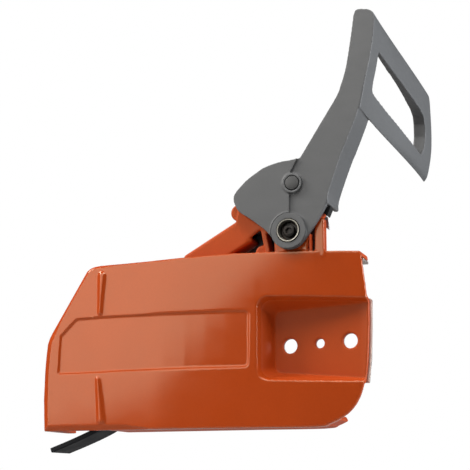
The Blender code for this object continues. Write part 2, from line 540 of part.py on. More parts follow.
link = link_body("knee_link", KNEE_MID, ROD_PIN, 4.0, -7.5, -5.5, STEEL)
to_mid = (Vector(KNEE_MID) - Vector(ROD_PIN)).normalized()
slot_end = Vector(ROD_PIN) + to_mid * 2.0
cut(link, link_body("t", ROD_PIN, (slot_end.x, slot_end.y), 2.3, -12, -2, STEEL))
cut(link, rod_y("t", KNEE_MID, 1.8, -12, -4, STEEL, 12))
place(link, (KNEE_MID[0], MECH_Y, KNEE_MID[1]))
place(rod_y("knee_mid_pin", KNEE_MID, 1.5, -10.6, -4.9, BRIGHT, 12), (KNEE_MID[0], MECH_Y, KNEE_MID[1]))
rod_y("knee_fixed_pin", KNEE_FIXED, 2.0, -14.6, -2.4, BRIGHT, 16)

# ------------------------------------------------------------------ mechanism cover
back = prism(
    "mechanism_cover",
    [(-51.6, 54.6), axis_pt(10.4, -8.5), axis_pt(10.4, -3.8), axis_pt(11.4, -3.8), axis_pt(11.4, 3.8), axis_pt(10.4, 3.8), axis_pt(10.4, 8.5), (-43.8, 84.8), (-35.4, 94.6), (-20.0, 94.6), (-14.0, 92.4), (-6.0, 89.6), (1.6, 82.2), (4.6, 80.2), (3.6, 70.0), (3.2, 54.5)],
    -2.1, -0.4, BLACK,
)
for i, c in enumerate(MECH_SCREWS):
    cut(back, rod_y("t", c, 1.6, -4, 2, BLACK, 12))
    screw = rod_y(f"mechanism_screw_{i + 1}", c, 1.3, -7.5, 0.1, STEEL, 12)
    join(screw, rod_y("t", c, 2.9, -0.1, 1.6, STEEL, 14))
detent = prism("detent_spring", [(-7.0, 80.0), (-2.0, 80.4), (2.2, 78.4), (5.2, 76.8), (5.9, 68.9), (3.0, 71.3), (1.6, 74.4), (-2.0, 73.0), (-7.0, 74.0)], -0.1, 0.9, STEEL)
cut(detent, rod_y("t", (-3.6, 76.8), 1.7, -3, 3, STEEL, 12))
cut(back, rod_y("t", (-3.6, 76.8), 1.7, -4, 2, BLACK, 12))
screw = rod_y("detent_screw", (-3.6, 76.8), 1.3, -2.1, 1.3, STEEL, 12)
join(screw, rod_y("t", (-3.6, 76.8), 2.6, 1.2, 2.5, STEEL, 14))

# ------------------------------------------------------------------ hand guard
GUARD_LEFT = [
    (27.6, 197.4), (25.7, 184.5), (23.3, 170.1), (21.4, 161.4), (18.6, 152.9), (16.1, 146.9), (5.5, 130.3), (-7.1, 110.6),
    (-12.0, 109.6), (-19.7, 108.8), (-28.9, 106.3), (-35.5, 102.5), (-40.6, 99.0), (-45.4, 94.4), (-48.4, 90.6), (-48.9, 87.4),
    (-48.0, 84.5), (-45.4, 80.0), (-39.9, 76.1), (-34.1, 71.8), (-29.0, 67.6), (-24.6, 62.6),
]
GUARD_RIGHT = [
    (-4.8, 60.4), (0.4, 67.1), (5.7, 75.1), (9.6, 81.6), (10.6, 88.9), (17.9, 109.2), (22.4, 119.6), (29.1, 136.3),
    (33.8, 154.8), (37.0, 167.6), (39.2, 180.2), (40.6, 193.4), (39.8, 197.4), (36.8, 199.8), (30.8, 200.7), (28.6, 199.9),
]
guard = prism("hand_guard", GUARD_LEFT + GUARD_RIGHT, PLATE_OUT_Y, PLATE_IN_Y, GREY)
join(guard, rod_y("t", PIVOT, 11.0, -20.5, PLATE_IN_Y, GREY, 32))
sector = prism("t", GUARD_LEFT[7:] + [(-20.0, 60.0), (-13.4, 66.0), (-13.4, 86.5), (-12.8, 101.5), (-8.2, 110.2)], SECTOR_Y, -16.0, GREY)
join(guard, sector)
join(guard, rod_y("t", DRIVE, 6.1, -20.6, PLATE_IN_Y, GREY, 24))


def inner_side(line, d):
    return offset_line(line, d)


web_line = [(9.9, 81.5), (10.6, 88.9), (17.9, 109.2), (22.4, 119.6), (29.1, 136.3), (32.0, 147.0)]
join(guard, prism("t", web_line + offset_line(web_line, 3.0)[::-1], PLATE_OUT_Y + 0.2, 8.0, GREY))

# the shield: front profile at the near end and at the far end, both over the same heights
NEAR = [(30.4, 138.4), (31.2, 142.0), (32.4, 147.6), (33.9, 154.8), (35.6, 162.0), (37.0, 167.6), (38.2, 174.0), (39.2, 180.2), (40.1, 188.0), (40.5, 193.6), (39.7, 197.8), (36.8, 199.2)]
FAR = [(37.6, 130.4), (39.8, 133.4), (41.4, 139.2), (42.8, 146.6), (43.7, 154.0), (44.0, 161.0), (44.1, 168.0), (44.0, 175.4), (43.8, 183.0), (43.5, 190.4), (42.6, 195.0), (40.0, 197.0)]
# thickness at the same points: thin beside the plate, deep at the far end
T_NEAR = [1.5, 2.6] + [3.0] * 10
T_FAR = [2.6, 6.0, 9.0] + [10.4] * 7 + [9.4, 7.6]


def thicker(line, thick):
    """The line's copy moved back by a thickness of its own at each point, its foot drawn up."""
    out = []
    for i, p in enumerate(line):
        a, b = Vector(line[max(0, i - 1)]), Vector(line[min(len(line) - 1, i + 1)])
        t = (b - a).normalized()
        out.append((p[0] - t.y * thick[i], p[1] + t.x * thick[i] + (1.4 if i == 0 else 0.0)))
    return out


def shield_ring(y, y0, y1, near, far):
    f = (y - y0) / (y1 - y0)
    g = f * f * (3 - 2 * f)
    front = [(a[0] + (b[0] - a[0]) * g, a[1] + (b[1] - a[1]) * f) for a, b in zip(near, far)]
    rear = thicker(front, [a + (b - a) * f * f for a, b in zip(T_NEAR, T_FAR)])
    return [(x, y, z) for x, z in front + rear[::-1]]


ys = [PLATE_OUT_Y + 0.4, -8.0, 4.0, 20.0, 40.0, 62.0, 84.0, 106.0, 124.0, 138.0, 147.0]
shield = loft("t", [shield_ring(y, ys[0], SHIELD_END_Y, NEAR, FAR) for y in ys] + [
    [(x, SHIELD_END_Y, z) for x, z in [(p[0] - 1.5, p[1] + (163.0 - p[1]) * 0.06) for p in FAR] + [(p[0] + 1.5, p[1] + (163.0 - p[1]) * 0.06) for p in thicker(FAR, T_FAR)][::-1]]
], GREY)
window = [
    (-0.6, 178.4), (60.0, 176.6), (112.0, 173.6), (120.5, 171.6), (124.0, 167.0), (125.8, 158.0), (124.5, 148.0), (120.0, 143.4),
    (60.0, 148.9), (2.2, 153.3), (-0.2, 155.4), (-1.2, 160.0), (-1.4, 168.0), (-1.2, 175.6),
]
cut(shield, loft("t2", [[(x, y, z) for y, z in window] for x in (0.0, 80.0)], GREY))
join(guard, shield)
cut(guard, rod_y("t", PIVOT, 7.2, -24, -10, GREY, 32))
cut(guard, rod_y("t", DRIVE, 2.35, -18.6, -10, GREY, 16))
cut(guard, rod_y("t", DRIVE, 4.6, -24, -18.6, GREY, 24))
place(guard, (PIVOT[0], 0.0, PIVOT[1]))
guard.data.set_sharp_from_angle(angle=math.radians(35))

pin = rod_y("guard_drive_pin", DRIVE, 2.0, -19.4, -7.2, BRIGHT, 16)
join(pin, rod_y("t", DRIVE, 4.3, -20.9, -18.9, GREY, 24))
place(pin, (PIVOT[0], 0.0, PIVOT[1]))
clip = rod_y("drive_pin_clip", DRIVE, 3.4, -12.3, -11.4, STEEL, 16)
cut(clip, rod_y("t", DRIVE, 2.3, -16, -8, STEEL, 16))
place(clip, (PIVOT[0], 0.0, PIVOT[1]))
BUFFER = [(6.4, 81.2), (9.6, 81.2), (10.0, 80.4), (7.7, 75.1), (4.9, 77.8)]
place(prism("guard_buffer", BUFFER, -12.0, -5.0, BLACK), (PIVOT[0], 0.0, PIVOT[1]))

turned("guard_bushing", PIVOT, [(5.5, -21.1), (6.9, -21.1), (6.9, -15.1), (5.5, -15.1)], BRIGHT, 32)
turned("pivot_washer", PIVOT, [(2.4, -16.6), (5.2, -16.6), (5.2, -15.1), (2.4, -15.1)], STEEL, 24)
screw = rod_y("guard_pivot_screw", PIVOT, 3.8, -19.6, -16.9, DARKSTEEL, 24)
join(screw, rod_y("t", PIVOT, 2.0, -17.1, -5.6, DARKSTEEL, 16))
cut(screw, rod_y("t", PIVOT, 1.9, -22, -17.9, DARKSTEEL, 6))
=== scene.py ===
"""Looks for a chainsaw clutch cover with chain brake and hand guard: finished shells, fasteners, materials, camera and light.

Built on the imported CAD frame.  Lengths below are millimetres and the helpers multiply by MM.
"""

import math

import bmesh
import bpy
from mathutils import Matrix, Vector


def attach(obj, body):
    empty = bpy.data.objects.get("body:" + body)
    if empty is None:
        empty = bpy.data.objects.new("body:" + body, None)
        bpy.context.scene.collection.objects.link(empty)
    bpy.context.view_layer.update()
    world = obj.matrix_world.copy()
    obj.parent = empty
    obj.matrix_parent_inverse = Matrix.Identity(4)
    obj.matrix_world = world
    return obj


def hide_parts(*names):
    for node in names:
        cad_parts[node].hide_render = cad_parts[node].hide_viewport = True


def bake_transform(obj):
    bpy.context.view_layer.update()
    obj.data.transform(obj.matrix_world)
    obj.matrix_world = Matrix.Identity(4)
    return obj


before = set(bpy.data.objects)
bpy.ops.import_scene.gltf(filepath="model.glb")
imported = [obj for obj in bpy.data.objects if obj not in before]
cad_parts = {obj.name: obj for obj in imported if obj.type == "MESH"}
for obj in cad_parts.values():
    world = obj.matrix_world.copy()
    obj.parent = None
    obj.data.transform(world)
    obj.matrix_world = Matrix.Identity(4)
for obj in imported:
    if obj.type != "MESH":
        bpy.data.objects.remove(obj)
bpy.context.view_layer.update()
MM = 0.001

# ------------------------------------------------------------------ sizes shared with the CAD model (mm)
STUD_SPACING, STUD_HOLE_R, CENTRE_HOLE_R = 37.0, 4.5, 2.9
BAR_TILT = math.radians(3.0)
FACE_Y, FACE_BEND_X, FACE_BEND_R = -24.0, -100.0, 563.0
RIM_Y, WALL = 10.0, 2.8
PAD_OUT_Y, PAD_IN_Y, PLATE_T = -4.4, -1.1, 0.8
TUNNEL_P, TUNNEL_SLOPE = (-51.1, 64.8), math.radians(29.5)
TUNNEL_HALF, TUNNEL_BORE_R, MECH_Y = 8.1, 6.0, -6.5
DRUM, BAND_IN_R, BAND_T, BAND_Y0, BAND_Y1 = (-81.0, 2.0), 38.0, 1.0, -12.5, -0.5
PIVOT, DRIVE = (-14.2, 66.2), (-11.6, 95.1)
LINK_L, KNEE_REST, KNEE_FIXED_T = 13.0, math.radians(-3.0), 41.0
PLATE_OUT_Y, PLATE_IN_Y, SECTOR_Y = -18.5, -15.2, -20.0
SHIELD_END_Y = 152.0
U = (math.cos(TUNNEL_SLOPE), math.sin(TUNNEL_SLOPE))
N = (-U[1], U[0])


def axis_pt(t, n=0.0):
    return (TUNNEL_P[0] + t * U[0] + n * N[0], TUNNEL_P[1] + t * U[1] + n * N[1])


def ax3(t, n=0.0, y=MECH_Y):
    p = axis_pt(t, n)
    return (p[0], y, p[1])


KNEE_FIXED = axis_pt(KNEE_FIXED_T)
KNEE_MID = (
    KNEE_FIXED[0] - LINK_L * (U[0] * math.cos(KNEE_REST) - N[0] * math.sin(KNEE_REST)),
    KNEE_FIXED[1] - LINK_L * (U[1] * math.cos(KNEE_REST) - N[1] * math.sin(KNEE_REST)),
)
ROD_PIN_T = KNEE_FIXED_T - 2 * LINK_L * math.cos(KNEE_REST)
ROD_PIN = axis_pt(ROD_PIN_T)
HOOK_T = -46.0
HOOK = axis_pt(HOOK_T)
STUDS = [(s * STUD_SPACING / 2 * math.cos(BAR_TILT), s * STUD_SPACING / 2 * math.sin(BAR_TILT)) for s in (-1, 1)]


def face_y(x):
    return FACE_Y + (max(0.0, x - FACE_BEND_X) ** 2) / (2 * FACE_BEND_R)


# ------------------------------------------------------------------ mesh helpers
def finish(name, bm, smooth=None):
    bmesh.ops.recalc_face_normals(bm, faces=bm.faces)
    mesh = bpy.data.meshes.new(name)
    bm.to_mesh(mesh)
    bm.free()
    obj = bpy.data.objects.new(name, mesh)
    bpy.context.scene.collection.objects.link(obj)
    if smooth:
        mesh.shade_smooth()
        mesh.set_sharp_from_angle(angle=math.radians(smooth))
    return obj


def loft(name, rings, smooth=None, closed=False):
    bm = bmesh.new()
    loops = [[bm.verts.new(Vector(p) * MM) for p in ring] for ring in rings]
    n = len(loops[0])
    pairs = list(zip(loops, loops[1:]))
    if closed:
        pairs.append((loops[-1], loops[0]))
    for a, b in pairs:
        for i in range(n):
            j = (i + 1) % n
            bm.faces.new((a[i], a[j], b[j], b[i]))
    if not closed:
        bm.faces.new(loops[0])
        bm.faces.new(loops[-1])
    return finish(name, bm, smooth)


def prism(name, pts, y0, y1, smooth=None):
    return loft(name, [[(x, y, z) for x, z in pts] for y in (y0, y1)], smooth)


def circle(c, r, n=64, start=0.0):
    return [(c[0] + r * math.cos(start + 2 * math.pi * i / n), c[1] + r * math.sin(start + 2 * math.pi * i / n)) for i in range(n)]


def rod_y(name, c, r, y0, y1, n=48):
    return prism(name, circle(c, r, n), y0, y1, 40)


def turned(name, c, profile, n=96):
    """A turned piece about the Y axis through c; profile holds (radius, y) round a closed outline."""
    rings = []
    for i in range(n):
        a = 2 * math.pi * i / n
        rings.append([(c[0] + r * math.cos(a), y, c[1] + r * math.sin(a)) for r, y in profile])
    return loft(name, rings, 35, closed=True)


def bar(name, p, q, r, n=40):
    p, q = Vector(p), Vector(q)
    d = (q - p).normalized()
    side = d.cross(Vector((0, 1, 0)) if abs(d.y) < 0.9 else Vector((1, 0, 0))).normalized()
    other = d.cross(side)
    ring = [side * (r * math.cos(2 * math.pi * i / n)) + other * (r * math.sin(2 * math.pi * i / n)) for i in range(n)]
    return loft(name, [[p + v for v in ring], [q + v for v in ring]], 40)


def box(name, lo, hi):
    return prism(name, [(lo[0], lo[2]), (hi[0], lo[2]), (hi[0], hi[2]), (lo[0], hi[2])], lo[1], hi[1])


def axis_box(name, t0, t1, n0, n1, y0, y1):
    return prism(name, [axis_pt(t0, n0), axis_pt(t1, n0), axis_pt(t1, n1), axis_pt(t0, n1)], y0, y1)


def applied(obj):
    """Applies every modifier of obj."""
    bpy.context.view_layer.update()
    graph = bpy.context.evaluated_depsgraph_get()
    mesh = bpy.data.meshes.new_from_object(obj.evaluated_get(graph))
    old = obj.data
    obj.modifiers.clear()
    mesh.name = obj.name
    obj.data = mesh
    if not old.users:
        bpy.data.meshes.remove(old)
    return obj


def boolean(obj, tool, operation):
    mod = obj.modifiers.new(operation.lower(), "BOOLEAN")
    mod.object = tool
    mod.operation = operation
    mod.solver = "EXACT"
    applied(obj)
    bpy.data.objects.remove(tool, do_unlink=True)


def cut(obj, *tools):
    for tool in tools:
        boolean(obj, tool, "DIFFERENCE")


def join(obj, *tools):
    for tool in tools:
        boolean(obj, tool, "UNION")


def keep(obj, tool):
    boolean(obj, tool, "INTERSECT")


def merge(obj, *others):
    """Adds closed bodies to obj as they are; the voxel skin that follows makes them one."""
    bm = bmesh.new()
    bm.from_mesh(obj.data)
    for other in others:
        bm.from_mesh(other.data)
        bpy.data.objects.remove(other, do_unlink=True)
    bm.to_mesh(obj.data)
    bm.free()


def rounded(pts, radii, steps=8):
    out = []
    count = len(pts)
    for i, (p, r) in enumerate(zip(pts, radii)):
        if not r:
            out.append(p)
            continue
        p = Vector(p)
        a = (Vector(pts[i - 1]) - p).normalized()
        b = (Vector(pts[(i + 1) % count]) - p).normalized()
        half = a.angle(b) / 2
        d = r / math.tan(half)
        centre = p + (a + b).normalized() * (r / math.sin(half))
        s, e = p + a * d - centre, p + b * d - centre
        total = s.angle_signed(e)
        for k in range(steps + 1):
            ang = -total * k / steps
            out.append((centre.x + s.x * math.cos(ang) - s.y * math.sin(ang), centre.y + s.x * math.sin(ang) + s.y * math.cos(ang)))
    return out


def spline(pts, per=6):
    """Points on a smooth open curve through pts (centripetal-like, uniform Catmull-Rom)."""
    out = []
    for i in range(len(pts) - 1):
        p1, p2 = Vector(pts[i]), Vector(pts[i + 1])
        p0 = Vector(pts[i - 1]) if i else p1 * 2 - p2
        p3 = Vector(pts[i + 2]) if i + 2 < len(pts) else p2 * 2 - p1
        for k in range(per):
            t = k / per
            q = 0.5 * ((2 * p1) + (p2 - p0) * t + (2 * p0 - 5 * p1 + 4 * p2 - p3) * t * t + (3 * p1 - p0 - 3 * p2 + p3) * t ** 3)
            out.append(tuple(q))
    out.append(tuple(pts[-1]))
    return out


def capsule(a, ra, b, rb, n=12):
    """Outline of a tapered bar with round ends."""
    a, b = Vector(a), Vector(b)
    d = (b - a).normalized()
    s = Vector((-d.y, d.x))
    base = math.atan2(s.y, s.x)
    pts = [(a.x + ra * math.cos(base + math.pi * k / n), a.y + ra * math.sin(base + math.pi * k / n)) for k in range(n + 1)]
    pts += [(b.x + rb * math.cos(base + math.pi + math.pi * k / n), b.y + rb * math.sin(base + math.pi + math.pi * k / n)) for k in range(n + 1)]
    return pts


def link_body(name, a, b, half, y0, y1):
    return prism(name, capsule(a, half, b, half), y0, y1, 30)


def offset_line(line, d):
    out = []
    for i, p in enumerate(line):
        a = Vector(line[max(0, i - 1)])
        b = Vector(line[min(len(line) - 1, i + 1)])
        t = (b - a).normalized()
        out.append((p[0] - t.y * d, p[1] + t.x * d))
    return out


def moulded(obj, voxel, relax, most=180000):
    """Turns a body made of sharp solids into a moulded one, with every edge and corner filleted."""
    mod = obj.modifiers.new("skin", "REMESH")
    mod.mode = "VOXEL"
    mod.voxel_size = voxel * MM
    mod.adaptivity = 0.0
    mod.use_smooth_shade = True
    mod = obj.modifiers.new("relax", "SMOOTH")
    mod.factor, mod.iterations = 0.5, relax
    applied(obj)
    triangles = sum(len(p.vertices) - 2 for p in obj.data.polygons)
    if triangles > most:
        mod = obj.modifiers.new("lighter", "DECIMATE")
        mod.ratio = most / triangles
        applied(obj)
    obj.data.shade_smooth()
    return obj


def eased(obj, width=0.3, segments=2, angle=35):
    """Rounds the edges of a plain solid."""
    mod = obj.modifiers.new("ease", "BEVEL")
    mod.width, mod.segments = width * MM, segments
    mod.limit_method, mod.angle_limit = "ANGLE", math.radians(angle)
    mod.harden_normals = True
    mod.use_clamp_overlap = True
    obj.data.shade_smooth()
    applied(obj)
    return obj


PIECES = []


def piece(obj, body, mat, slot, *nodes):
    """Puts a finished piece on its body, in place of CAD nodes."""
    obj.data.materials.clear()
    obj.data.materials.append(mat)
    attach(obj, body)
    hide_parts(*nodes)
    PIECES.append(obj)
    return obj


# ------------------------------------------------------------------ procedural materials
def nodes_of(name):
    mat = bpy.data.materials.new(name)
    mat.use_nodes = True
    tree = mat.node_tree
    shader = next(n for n in tree.nodes if n.type == "BSDF_PRINCIPLED")
    return mat, tree, shader


def noise(tree, coord, scale, detail=3.0, rough=0.5, stretch=None):
    """A noise value in object space (metres), with its scale in cycles per metre."""
    if stretch:
        mapping = tree.nodes.new("ShaderNodeMapping")
        mapping.inputs["Scale"].default_value = stretch
        tree.links.new(coord, mapping.inputs["Vector"])
        coord = mapping.outputs["Vector"]
    node = tree.nodes.new("ShaderNodeTexNoise")
    node.inputs["Scale"].default_value = scale
    node.inputs["Detail"].default_value = detail
    node.inputs["Roughness"].default_value = rough
    tree.links.new(coord, node.inputs["Vector"])
    return node.outputs["Fac"]


def ramp(tree, value, stops):
    node = tree.nodes.new("ShaderNodeValToRGB")
    elements = node.color_ramp.elements
    while len(elements) > 1:
        elements.remove(elements[-1])
    elements[0].position, elements[0].color = stops[0][0], (*stops[0][1], 1.0)
    for position, colour in stops[1:]:
        elements.new(position).color = (*colour, 1.0)
    tree.links.new(value, node.inputs["Fac"])
    return node.outputs["Color"]


def remap(tree, value, low, high, to_low, to_high):
    node = tree.nodes.new("ShaderNodeMapRange")
    for key, number in (("From Min", low), ("From Max", high), ("To Min", to_low), ("To Max", to_high)):
        node.inputs[key].default_value = number
    tree.links.new(value, node.inputs["Value"])
    return node.outputs["Result"]


def mix(tree, factor, a, b, kind="MIX"):
    node = tree.nodes.new("ShaderNodeMix")
    node.data_type = "RGBA"
    node.blend_type = kind
    if isinstance(factor, float):
        node.inputs["Factor"].default_value = factor
    else:
        tree.links.new(factor, node.inputs["Factor"])
    for key, value in (("A", a), ("B", b)):
        socket = next(s for s in node.inputs if s.name == key and s.type == "RGBA")
        if isinstance(value, tuple):
            socket.default_value = (*value, 1.0)
        else:
            tree.links.new(value, socket)
    return next(s for s in node.outputs if s.type == "RGBA")


def bumped(tree, shader, layers):
    """Stacks bump layers (height value, depth in mm, strength)."""
    normal = None
    for value, depth, strength in layers:
        node = tree.nodes.new("ShaderNodeBump")
        node.inputs["Strength"].default_value = strength
        node.inputs["Distance"].default_value = depth * MM
        tree.links.new(value, node.inputs["Height"])
        if normal:
            tree.links.new(normal, node.inputs["Normal"])
        normal = node.outputs["Normal"]
    tree.links.new(normal, shader.inputs["Normal"])


def shade(colour, k):
    return tuple(min(1.0, c * k) for c in colour)


def plastic(name, colour, worn, rough, coat=0.0, grain=(2600.0, 0.012, 0.35), spread=0.07, specular=0.5, tint=(1.0, 1.0, 1.0), swing=0.09):
    """Moulded plastic: faint flow marks in the colour, fine grain, scuffs, and paler rubbed edges."""
    mat, tree, shader = nodes_of(name)
    coord = tree.nodes.new("ShaderNodeTexCoord").outputs["Object"]
    flow = noise(tree, coord, 18.0, 4.0, 0.55, (1.0, 1.0, 0.6))
    speck = noise(tree, coord, 900.0, 2.0)
    base = ramp(tree, flow, [(0.30, shade(colour, 1 - spread)), (0.55, colour), (0.75, shade(colour, 1 + spread))])
    base = mix(tree, remap(tree, speck, 0.35, 0.75, 0.0, 0.16), base, shade(colour, 0.72))
    edge = tree.nodes.new("ShaderNodeNewGeometry").outputs["Pointiness"]
    broken = noise(tree, coord, 320.0, 3.0)
    rub = tree.nodes.new("ShaderNodeMath")
    rub.operation = "MULTIPLY"
    tree.links.new(remap(tree, edge, 0.515, 0.60, 0.0, 1.0), rub.inputs[0])
    tree.links.new(remap(tree, broken, 0.35, 0.62, 0.15, 0.75), rub.inputs[1])
    base = mix(tree, rub.outputs[0], base, worn)
    tree.links.new(base, shader.inputs["Base Color"])
    scuff = noise(tree, coord, 60.0, 6.0, 0.7, (1.0, 1.0, 3.0))
    tree.links.new(remap(tree, scuff, 0.3, 0.75, rough - 0.03, rough + swing), shader.inputs["Roughness"])
    shader.inputs["Specular IOR Level"].default_value = specular
    shader.inputs["Specular Tint"].default_value = (*tint, 1.0)
    shader.inputs["Coat Weight"].default_value = coat
    shader.inputs["Coat Roughness"].default_value = 0.18
    peel = noise(tree, coord, 170.0, 2.0)
    bumped(tree, shader, [(noise(tree, coord, grain[0], 2.0), grain[1], grain[2]), (peel, 0.03, 0.12)])
    return mat


def metal(name, colour, rough, lines=(1.0, 1.0, 1.0), stain=(0.30, 0.27, 0.24), dirt=0.25, scale=900.0):
    """Bare or plated steel: drawn or rolled lines, tarnish patches and small scratches."""
    mat, tree, shader = nodes_of(name)
    coord = tree.nodes.new("ShaderNodeTexCoord").outputs["Object"]
    line = noise(tree, coord, scale, 3.0, 0.6, lines)
    patch = noise(tree, coord, 90.0, 5.0, 0.65)
    base = ramp(tree, line, [(0.30, shade(colour, 0.82)), (0.52, colour), (0.72, shade(colour, 1.16))])
    base = mix(tree, remap(tree, patch, 0.45, 0.75, 0.0, dirt), base, stain)
    tree.links.new(base, shader.inputs["Base Color"])
    shader.inputs["Metallic"].default_value = 1.0
    tree.links.new(remap(tree, patch, 0.3, 0.7, rough - 0.06, rough + 0.12), shader.inputs["Roughness"])
    bumped(tree, shader, [(line, 0.006, 0.35), (noise(tree, coord, 420.0, 4.0), 0.012, 0.18)])
    return mat


def rubber(name, colour, rough=0.62):
    mat, tree, shader = nodes_of(name)
    coord = tree.nodes.new("ShaderNodeTexCoord").outputs["Object"]
    bloom = noise(tree, coord, 70.0, 5.0, 0.65)
    base = ramp(tree, bloom, [(0.3, shade(colour, 0.82)), (0.5, colour), (0.72, shade(colour, 1.25))])
    dust = noise(tree, coord, 1400.0, 2.0)
    base = mix(tree, remap(tree, dust, 0.5, 0.8, 0.0, 0.22), base, shade(colour, 1.9))
    tree.links.new(base, shader.inputs["Base Color"])
    tree.links.new(remap(tree, bloom, 0.3, 0.7, rough - 0.07, rough + 0.1), shader.inputs["Roughness"])
    shader.inputs["Specular IOR Level"].default_value = 0.10
    bumped(tree, shader, [(noise(tree, coord, 1900.0, 2.0), 0.02, 0.35), (noise(tree, coord, 240.0, 3.0), 0.05, 0.2)])
    return mat




def matt_inside(mat):
    """Turns the gloss off wherever the cover lies more than a few millimetres behind its outer face: recess, walls and inside."""
    tree = mat.node_tree
    shader = next(n for n in tree.nodes if n.type == "BSDF_PRINCIPLED")
    coord = tree.nodes.new("ShaderNodeTexCoord").outputs["Object"]
    parts = tree.nodes.new("ShaderNodeSeparateXYZ")
    tree.links.new(coord, parts.inputs[0])

    def math_node(kind, a, b):
        node = tree.nodes.new("ShaderNodeMath")
        node.operation = kind
        for socket, value in zip(node.inputs, (a, b)):
            if isinstance(value, float):
                socket.default_value = value
            else:
                tree.links.new(value, socket)
        return node.outputs[0]

    bend = math_node("MAXIMUM", math_node("SUBTRACT", parts.outputs["X"], FACE_BEND_X * MM), 0.0)
    bend = math_node("DIVIDE", math_node("MULTIPLY", bend, bend), 2 * FACE_BEND_R * MM)
    depth = math_node("SUBTRACT", math_node("SUBTRACT", parts.outputs["Y"], FACE_Y * MM), bend)
    mask = remap(tree, depth, 0.0022, 0.0060, 0.0, 1.0)
    rough = shader.inputs["Roughness"].links[0].from_socket
    blend = tree.nodes.new("ShaderNodeMix")
    blend.data_type = "FLOAT"
    tree.links.new(mask, blend.inputs["Factor"])
    tree.links.new(rough, blend.inputs["A"])
    blend.inputs["B"].default_value = 0.48
    tree.links.new(blend.outputs["Result"], shader.inputs["Roughness"])
    tree.links.new(remap(tree, depth, 0.0022, 0.0060, 0.5, 0.16), shader.inputs["Specular IOR Level"])
    return mat


M_ORANGE = plastic("orange_nylon", (0.46, 0.058, 0.0075), (0.66, 0.21, 0.09), 0.11, specular=0.5, tint=(1.0, 0.84, 0.58), swing=0.05)
matt_inside(M_ORANGE)
M_GREY = plastic("guard_nylon", (0.079, 0.080, 0.081), (0.24, 0.24, 0.245), 0.52, grain=(1500.0, 0.03, 0.5), spread=0.05, specular=0.4)
M_PIN_HEAD = plastic("pin_head_dark", (0.014, 0.014, 0.0135), (0.045, 0.045, 0.045), 0.48, grain=(1800.0, 0.02, 0.4), spread=0.06)
M_FLAP = rubber("flap_rubber", (0.010, 0.0105, 0.0125), 0.58)
M_BUFFER = rubber("buffer_rubber", (0.016, 0.016, 0.016), 0.6)
# near-black nylon of the mechanism's back plate; this black is partly the plate's own colour and partly painted shade
# for the deep gaps seen through the cover's neck
M_BLACK_AND_SHADE = plastic("black_nylon_and_painted_shade", (0.014, 0.014, 0.015), (0.07, 0.07, 0.07), 0.42, grain=(1500.0, 0.03, 0.5))
M_NYLON = plastic("natural_nylon", (0.62, 0.50, 0.40), (0.74, 0.66, 0.58), 0.42)
M_PLATE = metal("rolled_steel", (0.52, 0.44, 0.40), 0.34, (1.0, 1.0, 9.0))
M_BAND = metal("band_steel", (0.30, 0.30, 0.31), 0.33, (1.0, 12.0, 1.0), dirt=0.35)
M_PIN = metal("ground_steel", (0.56, 0.55, 0.53), 0.24, (1.0, 7.0, 1.0), dirt=0.15)
M_LINK = metal("stamped_steel", (0.26, 0.245, 0.22), 0.40, (3.0, 1.0, 3.0))
M_LEAF = metal("leaf_steel", (0.50, 0.51, 0.53), 0.42, (1.0, 1.0, 3.0))
M_SPRING = metal("spring_steel", (0.24, 0.24, 0.25), 0.30, (1.0, 1.0, 1.0))
M_DARK = metal("black_oxide", (0.022, 0.021, 0.020), 0.38, (1.0, 1.0, 1.0), stain=(0.05, 0.032, 0.024), dirt=0.3)
M_ZINC = metal("bright_zinc", (0.60, 0.61, 0.60), 0.26, (1.0, 1.0, 1.0), stain=(0.45, 0.42, 0.34), dirt=0.3)
M_BUSH = metal("turned_steel", (0.23, 0.22, 0.19), 0.42, (1.0, 9.0, 1.0), dirt=0.3)


# ------------------------------------------------------------------ clutch cover
def recess_ring(y, grow):
    f = (PAD_OUT_Y - y) / 14.6
    left = -27.7 - 6.1 * f - grow
    top_a, top_b = 20.2 + 7.0 * f + grow, 23.4 + 6.6 * f + grow
    bot_a, bot_b = -16.9 - 4.6 * f - grow, -21.8 - 3.4 * f - grow
    r = 5.0 + 2.0 * f + grow * 0.5
    front = 60.0
    slope_t = (top_b - top_a) / 58.0
    slope_b = (bot_b - bot_a) / 58.0
    pts = [(left, bot_a), (front, bot_a + slope_b * (front - left)), (front, top_a + slope_t * (front - left)), (left, top_a)]
    return [(x, y, z) for x, z in rounded(pts, [r, 0, 0, r], 10)]


def face_solid(name, offset, y_end):
    xs = [-200.0, FACE_BEND_X] + [FACE_BEND_X + (140.0 * k / 60) for k in range(1, 61)] + [70.0]
    profile = [(x, face_y(min(x, 60.0)) + offset) for x in xs] + [(70.0, y_end), (-200.0, y_end)]
    return loft(name, [[(x, y, z) for x, y in profile] for z in (-90.0, 130.0)])


def inset_polygon(pts, amount):
    """Moves each point of a closed outline (running anticlockwise in X-Z) inwards by amount(point)."""
    out = []
    n = len(pts)
    for i in range(n):
        p = Vector(pts[i])
        t1 = (p - Vector(pts[i - 1])).normalized()
        t2 = (Vector(pts[(i + 1) % n]) - p).normalized()
        n1, n2 = Vector((-t1.y, t1.x)), Vector((-t2.y, t2.x))
        m = (n1 + n2).normalized()
        k = amount(pts[i]) / max(0.5, m.dot(n1))
        out.append((p.x + m.x * k, p.y + m.y * k))
    return out


